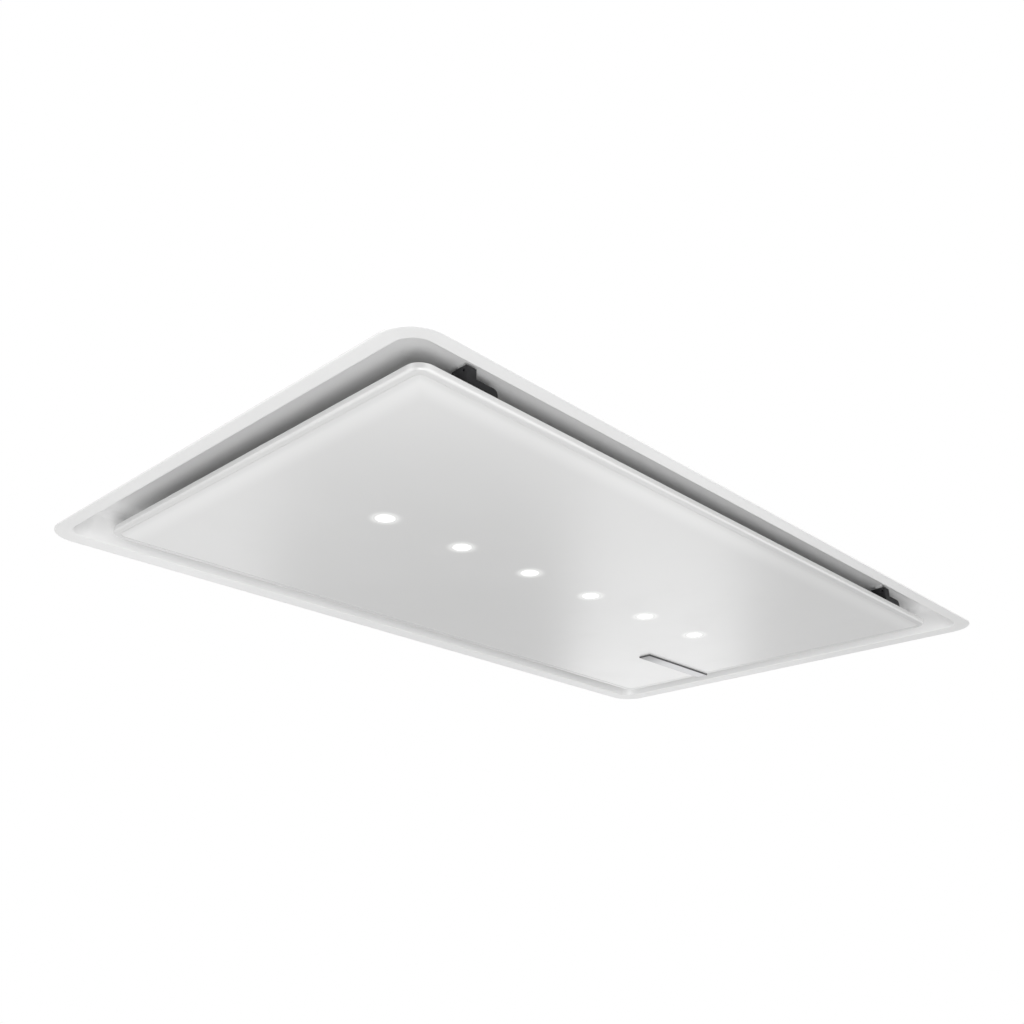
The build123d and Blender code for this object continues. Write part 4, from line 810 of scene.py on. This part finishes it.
class HOOD_OT_fittings(bpy.types.Operator):
    """Finish the catch posts, the magnet housings, the hinges and the flap spindle"""

    bl_idname = "hood.fittings"
    bl_label = "Catches and hinges"

    def execute(self, context):
        paint = context.scene.hood_paint
        dress(powder_coat("Black post coat", tuple(paint.bracket), 0.45, 1.5, 0.15), *like("catch_bracket"))
        dress(moulded("White magnet housing", (0.80, 0.80, 0.795), 0.45), "catch_magnets")
        zinc = brushed("Zinc-plated hinge steel", (0.62, 0.63, 0.65), (1200.0, 22.0, 900.0), 0.34)
        dress(zinc, *like("hinge_"), "flap_spindle")
        return {"FINISHED"}


class HOOD_OT_filters(bpy.types.Operator):
    """Finish the grease filters and fold their baffle channels"""

    bl_idname = "hood.filters"
    bl_label = "Grease filters"

    def execute(self, context):
        steel = brushed("Brushed filter steel", (0.62, 0.62, 0.63), (1300.0, 9.0, 1300.0), 0.30)
        dress(steel, *like("filter_frame"))
        dress(nickel("Polished handle wire", (0.70, 0.70, 0.71)), *like("filter_handle"))
        dress(brushed("Tempered leaf spring", (0.45, 0.46, 0.50), (900.0, 20.0, 30.0), 0.28), "filter_clips")
        recipe = self.channels(steel)
        middle = (WINDOW_Y[0] + WINDOW_Y[1]) / 2
        for name, filter_x in FILTERS.items():
            piece = make(f"baffle_rows_{name}", recipe, {
                **chosen(context.scene.hood_baffles), "Thickness": BAFFLE_SHEET * MM,
                "Length": (WINDOW_Y[1] - WINDOW_Y[0] + BAFFLE_PAST) * MM,
                "Rows apart": BAFFLE_ROWS_APART * MM, "Place": metres(filter_x, middle, BAFFLE_Z),
            })
            settle(piece, f"filter_{name}", "filter_metal", f"filter_baffles_{name}")
        return {"FINISHED"}

    def channels(self, material):
        """Two rows of folded channels that face each other, half a pitch apart."""
        r = Recipe("Baffle channels")
        count = r.size("Count", 8, "Int")
        pitch = r.size("Pitch", 0.036)
        width = r.size("Width", 0.024)
        lip = r.size("Lip", 0.006)
        thick = r.size("Thickness", 0.0012)
        length = r.size("Length", 0.362)
        apart = r.size("Rows apart", 0.010)
        fold = r.size("Fold radius", 0.0018)
        place = r.size("Place", NOWHERE, "Vector")
        # The folded section is a closed outline of eight corners: four outside, then four inside.
        corner = r.add("GeometryNodeInputIndex")
        side = 1.0 - abs(corner - 3.5).above(2.0) * 2.0
        wall = corner.above(3.5) * thick
        folded = abs(corner % 4.0 - 1.5).below(1.0)
        across = side * (width * 0.5 - wall)
        up = lip + folded * (wall - lip)
        outline = r.add("GeometryNodeSetPosition", {}, {
            "Geometry": r.add("GeometryNodeMeshCircle", {}, {"Vertices": 8}),
            "Position": r.vector(across, up),
        })
        section = r.rounded(
            r.add("GeometryNodeMeshToCurve", {}, {"Mesh": outline}), 4, folded * (fold - wall),
        )
        face = r.add("GeometryNodeFillCurve", {"mode": "NGONS"}, {"Curve": section})
        drawn = r.add("GeometryNodeExtrudeMesh", {}, {
            "Mesh": face, "Offset": r.vector(z=1.0), "Offset Scale": length,
        })
        back = r.add("GeometryNodeFlipFaces", {}, {"Mesh": face})
        closed = r.add("GeometryNodeMergeByDistance", {}, {
            "Geometry": r.together(drawn, back), "Distance": 0.00001,
        })
        channel = r.moved(r.lifted(closed, length * -0.5), NOWHERE, (math.pi / 2, 0.0, 0.0))
        rows = []
        for turn, extra, lift in ((0.0, 0, 0.0), (math.pi, -1, 1.0)):
            number = count + extra
            line = r.line(number, r.vector((number - 1.0) * -0.5 * pitch), r.vector(pitch))
            rows.append(r.lifted(r.spread(channel, (0.0, turn, 0.0), line), apart * lift))
        return r.finish(r.moved(r.together(*rows), place), material)


class HOOD_OT_screws(bpy.types.Operator):
    """Make the pan-head screws with cross recesses that hold the casing, the box and the brackets"""

    bl_idname = "hood.screws"
    bl_label = "Screws"

    def execute(self, context):
        zinc = brushed("Zinc-plated screw", (0.70, 0.71, 0.74), (700.0, 700.0, 60.0), 0.24, 0.08)
        recipe = self.screw(zinc)
        brackets = [
            (sx * ROD_X / 2 + dx, sy * (ROD_Y / 2 - ROD_SCREW_Y))
            for sx in (-1, 1) for sy in (-1, 1) for dx in (-ROD_SCREW_X, ROD_SCREW_X)
        ]
        foot = perimeter(FLANGE_X / 2 - FOOT_SCREW_IN, FLANGE_Y / 2 - FOOT_SCREW_IN, 6, 4)
        box = [
            (BOX_MID_X + x, y)
            for x, y in perimeter(BOX_X / 2 + BOX_SCREW_OUT, BOX_Y / 2 + BOX_SCREW_OUT, 4, 3)
        ]
        for name, places, seat, reach, node in (
            ("casing_screws", foot, CASE_FOOT_TOP, "casing", "frame_screws"),
            ("bracket_screws", brackets, ROD_FOOT_TOP, "bracket", "suspension_screws"),
            ("blower_box_screws", box, BOX_FOOT_TOP, "box", "box_screws"),
        ):
            piece = make(name, recipe, {
                **chosen(context.scene.hood_screws), "Shank length": SCREW_REACH[reach] * MM,
            }, [metres(x, y, seat) for x, y in places])
            settle(piece, "hood", "zinc_screws", node)
        return {"FINISHED"}

    def screw(self, material):
        """A domed head with a cross recess, on a shank that reaches down."""
        r = Recipe("Pan-head screws")
        head_r = r.size("Head radius", 0.0036)
        head_h = r.size("Head height", 0.0022)
        shank_r = r.size("Shank radius", 0.00195)
        shank_l = r.size("Shank length", 0.003)
        recess = r.size("Recess width", 0.004)
        slot = r.size("Slot share", 0.24)
        dome = r.ball(20, 10, 1.0, head_r, head_r, head_h)
        under = r.lifted(r.block(head_r * 3.0, head_r * 3.0, head_h), head_h * -0.5)
        cross = [
            r.lifted(r.block(recess, recess * slot, head_h), head_h, (0.0, 0.0, turn))
            for turn in (0.0, math.pi / 2)
        ]
        shank = r.lifted(r.rod(12, shank_r, shank_l), shank_l * -0.5)
        spin = r.add("FunctionNodeRandomValue", {"data_type": "FLOAT_VECTOR"}, {
            0: NOWHERE, 1: (0.0, 0.0, math.pi), "Seed": 7,
        })
        return r.finish(r.spread(r.together(r.cut(dome, under, *cross), shank), spin), material)


class HOOD_OT_casing(bpy.types.Operator):
    """Finish the sheet-metal casing, the filter plate and the brackets, and set rivets along the seams"""

    bl_idname = "hood.casing"
    bl_label = "Casing"

    def execute(self, context):
        zinc = galvanised("Galvanised sheet", (0.60, 0.62, 0.63))
        dress(zinc, "casing_shell", "filter_plate", *like("suspension_bracket"))
        recipe = self.rivets(brushed("Rivet aluminium", (0.72, 0.73, 0.74), (600.0, 600.0, 90.0), 0.3))
        face = FLANGE_Y / 2 - CASE_IN
        seam = FLANGE_X / 2 - CASE_IN - RIVET_IN
        for name, side in (("rivets_front", -1), ("rivets_rear", 1)):
            places = [metres(s * seam, side * face, z) for s in (-1, 1) for z in RIVET_ZS]
            piece = make(name, recipe, {
                "Radius": RIVET_R * MM, "Height": RIVET_TALL * MM, "Turn": (-side * math.pi / 2, 0.0, 0.0),
            }, places)
            settle(piece, "hood", "galvanised_sheet")
        return {"FINISHED"}

    def rivets(self, material):
        """Domed pop-rivet heads with the pin's small crater."""
        r = Recipe("Rivets")
        radius = r.size("Radius", 0.0032)
        height = r.size("Height", 0.0013)
        pin = r.size("Pin share", 0.3)
        turn = r.size("Turn", NOWHERE, "Vector")
        dome = r.ball(16, 8, 1.0, radius, radius, height)
        crater = r.lifted(r.rod(10, radius * pin, height), height * 1.25)
        return r.finish(r.spread(r.cut(dome, crater), turn), material)


class HOOD_OT_blower(bpy.types.Operator):
    """Finish the blower box, the scroll, the wheel and the motor"""

    bl_idname = "hood.blower"
    bl_label = "Blower and motor"

    def execute(self, context):
        zinc = galvanised("Galvanised box sheet", (0.62, 0.64, 0.65), 84.0)
        dress(zinc, "blower_box", "scroll_housing", "scroll_cover", "inlet_ring", "outlet_transition")
        dress(galvanised("Galvanised lid sheet", (0.62, 0.64, 0.65), 86.0), "blower_box_lid")
        dress(rubber("Rubber foot", (0.03, 0.03, 0.03)), "blower_mounts")
        axis = metres(BLOWER_X, BLOWER_Y, 0.0)
        recipe = self.wheel(galvanised("Pressed wheel sheet", (0.58, 0.60, 0.61), 120.0))
        piece = make("impeller_wheel", recipe, {
            **chosen(context.scene.hood_wheel), "Height": (WHEEL_Z1 - WHEEL_Z0) * MM,
            "Foot": metres(BLOWER_X, BLOWER_Y, WHEEL_Z0),
        })
        settle(piece, "wheel", "wheel_steel", "impeller")
        dress(cast_alloy("Cast motor shell", (0.52, 0.53, 0.54)), "motor_housing")
        dress(turned("Ground bearing steel", (0.60, 0.60, 0.61), axis, 0.16), "motor_bearings")
        dress(stacked_sheets("Lamination stack", (0.22, 0.22, 0.23), axis), "motor_stator")
        dress(turned("Turned rotor steel", (0.46, 0.46, 0.48), axis), "motor_rotor")
        return {"FINISHED"}

    def wheel(self, material):
        """Cupped blades between a back plate with its hub and a shroud ring."""
        r = Recipe("Blower wheel")
        blades = r.size("Blades", 36, "Int")
        rim = r.size("Rim radius", 0.108)
        eye = r.size("Eye radius", 0.091)
        sheet = r.size("Sheet", 0.002)
        height = r.size("Height", 0.104)
        foot = r.size("Foot", NOWHERE, "Vector")
        hub = r.size("Hub radius", 0.014)
        hub_height = r.size("Hub height", 0.026)
        bore = r.size("Bore radius", 0.005)
        cupped = r.size("Cup depth", 0.0016)
        swung = r.size("Tip offset", 0.0042)
        blade_sheet = r.size("Blade sheet", 0.0010)
        tip_in = r.size("Tip inside rim", 0.0008)
        cup = r.add("GeometryNodeCurveArc", {"mode": "POINTS"}, {
            "Resolution": 9,
            "Start": r.vector(eye),
            "Middle": r.vector((rim + eye) * 0.5, 0.0 - cupped),
            "End": r.vector(rim - tip_in, swung),
        })
        strip = r.rectangle(blade_sheet, height - sheet)
        blade = r.lifted(r.swept(r.upright(cup), strip, True), height * 0.5)
        turn = r.add("GeometryNodeInputIndex") * (2.0 * math.pi / blades)
        cage = r.spread(blade, r.vector(z=turn), r.line(blades, NOWHERE, NOWHERE))
        shroud = self.ring(r, eye, rim, sheet, sheet * 0.5)
        plate = self.ring(r, bore, rim, sheet, height - sheet * 0.5)
        boss = self.ring(r, bore, hub, hub_height, height - hub_height * 0.5)
        return r.finish(r.moved(r.together(cage, shroud, plate, boss), foot), material)

    def ring(self, r, inner, outer, tall, lift):
        """A flat ring between two radii, its middle at the height lift."""
        circle = r.upright(r.circle(96, (inner + outer) * 0.5))
        return r.lifted(r.swept(circle, r.rectangle(outer - inner, tall)), lift)


class HOOD_OT_outlet(bpy.types.Operator):
    """Finish the outlet spigot and its two flaps"""

    bl_idname = "hood.outlet"
    bl_label = "Outlet and flaps"

    def execute(self, context):
        dress(moulded("Black moulded spigot", (0.045, 0.045, 0.048)), "outlet_spigot")
        dress(moulded("Grey moulded flap", (0.42, 0.43, 0.44), 0.42), "flap_front", "flap_rear")
        return {"FINISHED"}


class HOOD_OT_electrics(bpy.types.Operator):
    """Finish the control box, its board, the cable gland and the lamp driver"""

    bl_idname = "hood.electrics"
    bl_label = "Electrics"

    def execute(self, context):
        shell = moulded("Light grey box plastic", (0.62, 0.62, 0.61), 0.5, 1500.0)
        dress(shell, "control_box", "control_box_cover")
        dress(circuit_board("Circuit board", (0.02, 0.16, 0.06)), "control_board")
        dress(moulded("White driver plastic", (0.74, 0.74, 0.73), 0.44), "led_driver")
        black = moulded("Black gland plastic", (0.03, 0.03, 0.032), 0.4)
        dress(black, "cable_gland")
        ribs = make("gland_ribs", self.ribs(black), {
            "Place": metres(NUT_X0, NUT_Y, NUT_Z), "Nut radius": NUT_R * MM,
            "Length": (NUT_LONG - NUT_BARE) * MM,
        })
        settle(ribs, "hood", "gland_plastic")
        vents = [
            metres(COVER_X + side * VENT_OUT, COVER_Y + row * VENT_PITCH, COVER_TOP)
            for side in (-1, 1) for row in VENT_ROWS
        ]
        settle(make("cover_vents", self.vents(shell), {}, vents), "hood", "box_plastic")
        return {"FINISHED"}

    def ribs(self, material):
        """Grip ribs round the gland's clamping nut."""
        r = Recipe("Gland ribs")
        place = r.size("Place", NOWHERE, "Vector")
        nut = r.size("Nut radius", 0.012)
        length = r.size("Length", 0.009)
        count = r.size("Count", 20, "Int")
        radius = r.size("Rib radius", 0.0009)
        circle = r.add("GeometryNodeMeshCircle", {}, {"Vertices": count, "Radius": nut})
        grip = r.spread(r.rod(10, radius, length), points=circle)
        lying = r.moved(grip, NOWHERE, (0.0, math.pi / 2, 0.0))
        return r.finish(r.moved(r.moved(lying, r.vector(length * 0.5)), place), material)

    def vents(self, material):
        """Hooded slots in the control box's cover."""
        r = Recipe("Cover vents")
        long = r.size("Length", 0.070)
        wide = r.size("Width", 0.005)
        tall = r.size("Height", 0.0018)
        shut = r.size("Shut share", 0.62)
        hood = r.ball(32, 12, 0.5, long, wide, tall * 2.0)
        block = r.block(long, wide, tall * 2.0)
        under = r.lifted(block, tall * -1.0)
        open_side = r.moved(block, r.vector(0.0, wide * shut))
        return r.finish(r.spread(r.cut(hood, under, open_side)), material)


class HOOD_OT_stage(bpy.types.Operator):
    """Set up the floor, the ceiling sheet, the lights and the camera at the photograph's angle"""

    bl_idname = "hood.stage"
    bl_label = "Stage"

    CAMERA_AT = (-1.110, -0.950, -0.533)
    CAMERA_HEADING = (0.7148, 0.6993)
    CAMERA_PITCH = 23.85
    CAMERA_ROLL = 0.22
    CAMERA_SHIFT = 0.0182
    SENSOR = 36.0
    CLIP_START = 0.02
    # Sizes of the ceiling sheet, in millimetres.
    CEILING_PAST = 160.0
    CEILING_UNDER = 9.5
    CEILING_GAP = 0.3
    CORNER_R = 40.0
    CORNER_STEPS = 8
    # Name, place, what it is aimed at, width, height, roll in degrees and share of the light power.
    LIGHTS = (
        ("low_key", (-2.6, -2.9, -0.75), (0.0, 0.0, 0.0), 2.4, 1.0, 0.0, 1.3),
        ("under_key", (-1.6, -1.9, -2.0), (0.0, 0.0, 0.0), 1.4, 1.0, 0.0, 2.4),
        ("far_strip", (2.155, 1.315, -1.05), (0.1, -0.05, 0.0), 0.66, 1.9, -8.0, 0.152),
        ("left_card", (0.57, 2.84, -1.35), (-0.4, 0.1, 0.0), 1.45, 1.5, 0.0, 0.23),
        ("low_card", (0.70, 1.20, -1.60), (-0.5, -0.2, 0.0), 1.4, 0.8, 0.0, 0.345),
    )

    def execute(self, context):
        scene = context.scene
        stage = scene.hood_stage
        self.floor(stage.floor_height)
        world = bpy.data.worlds.new("Studio surroundings")
        world.use_nodes = True
        sky = world.node_tree.nodes["Background"]
        sky.inputs["Color"].default_value = (1.0, 1.0, 1.0, 1.0)
        sky.inputs["Strength"].default_value = stage.sky
        scene.world = world
        scene.view_settings.view_transform = "Standard"
        self.ceiling(stage.sky)
        for name, at, aim, wide, tall, roll, share in self.LIGHTS:
            self.light(name, at, aim, wide, tall, roll, stage.power * share)
        self.camera(scene, stage.lens)
        return {"FINISHED"}

    def floor(self, height):
        """A plain grey floor with a faint plaster tooth."""
        f = Finish("Grey floor")
        tooth = f.noise(90.0, 3.0)
        plaster = f.give(
            base_color=f.blend(f.noise(0.8, 3.0).ramp(0.3, 0.7), (0.33, 0.33, 0.33), (0.35, 0.35, 0.35)),
            roughness=0.85 + (tooth - 0.5) * 0.1,
            normal=f.bump(tooth, 0.0005, 0.1),
        )
        r = Recipe("Floor")
        side = r.size("Side", 18.0)
        sheet = r.add("GeometryNodeMeshGrid", {}, {
            "Size X": side, "Size Y": side, "Vertices X": 2, "Vertices Y": 2,
        })
        recipe = r.finish(r.lifted(sheet, r.size("Height", 0.0)), plaster)
        make("floor", recipe, {"Height": height})

    def ceiling(self, brightness):
        """A white ceiling sheet round the opening, as bright as the surroundings."""
        f = Finish("White ceiling")
        bright = f.give(
            base_color=BLACK, roughness=1.0, specular_ior_level=0.0,
            emission_color=(1.0, 1.0, 1.0), emission_strength=brightness,
        )
        r = Recipe("Ceiling")
        long = r.size("Flange length", FLANGE_X * MM)
        wide = r.size("Flange width", FLANGE_Y * MM)
        past, under = (2 * v * MM for v in (self.CEILING_PAST, self.CEILING_UNDER))
        corner = (self.CORNER_R - self.CEILING_UNDER) * MM
        hole = r.rounded(r.rectangle(long - under, wide - under), self.CORNER_STEPS, corner)
        sheet = r.add("GeometryNodeFillCurve", {"mode": "NGONS"}, {
            "Curve": r.together(r.rectangle(long + past, wide + past), hole),
        })
        make("ceiling", r.finish(r.lifted(sheet, self.CEILING_GAP * MM), bright), {})

    def light(self, name, at, aim, wide, tall, roll, power):
        data = bpy.data.lights.new(name, "AREA")
        data.shape = "RECTANGLE"
        data.size = wide
        data.size_y = tall
        data.energy = power
        lamp = put(name, data)
        lamp.location = at
        facing = (Vector(aim) - Vector(at)).to_track_quat("-Z", "Y")
        turned = facing @ Quaternion((0.0, 0.0, 1.0), math.radians(roll))
        lamp.rotation_euler = turned.to_euler()

    def camera(self, scene, lens):
        data = bpy.data.cameras.new("camera")
        data.lens = lens
        data.sensor_width = self.SENSOR
        data.shift_x = self.CAMERA_SHIFT
        data.clip_start = self.CLIP_START
        pitch = math.radians(self.CAMERA_PITCH)
        ahead = Vector((
            self.CAMERA_HEADING[0] * math.cos(pitch), self.CAMERA_HEADING[1] * math.cos(pitch),
            math.sin(pitch),
        ))
        turn = ahead.to_track_quat("-Z", "Y").to_matrix().to_4x4()
        roll = Matrix.Rotation(math.radians(self.CAMERA_ROLL), 4, "Z")
        camera = put("camera", data)
        camera.matrix_world = Matrix.Translation(self.CAMERA_AT) @ turn @ roll
        scene.camera = camera


STEPS = (
    HOOD_OT_stage, HOOD_OT_flange, HOOD_OT_panel, HOOD_OT_lamps, HOOD_OT_plate, HOOD_OT_fittings,
    HOOD_OT_filters, HOOD_OT_screws, HOOD_OT_casing, HOOD_OT_blower, HOOD_OT_outlet, HOOD_OT_electrics,
)


class HOOD_PT_tools(bpy.types.Panel):
    """Steps that dress the hood, with their sizes and colours"""

    bl_idname = "HOOD_PT_tools"
    bl_label = "Ceiling Range Hood"
    bl_space_type = "VIEW_3D"
    bl_region_type = "UI"
    bl_category = "Hood"

    def draw(self, context):
        for group, settings in GROUPS.items():
            column = self.layout.box().column()
            for name in settings.__annotations__:
                column.prop(getattr(context.scene, group), name)
        for step in STEPS:
            self.layout.operator(step.bl_idname)


CLASSES = (*GROUPS.values(), *STEPS, HOOD_PT_tools)


def register():
    for cls in CLASSES:
        bpy.utils.register_class(cls)
    for name, settings in GROUPS.items():
        setattr(bpy.types.Scene, name, bpy.props.PointerProperty(type=settings))


def unregister():
    for name in GROUPS:
        delattr(bpy.types.Scene, name)
    for cls in reversed(CLASSES):
        bpy.utils.unregister_class(cls)


def main():
    register()
    for step in STEPS:
        group, name = step.bl_idname.split(".")
        getattr(getattr(bpy.ops, group), name)()


if __name__ == "__main__":
    main()
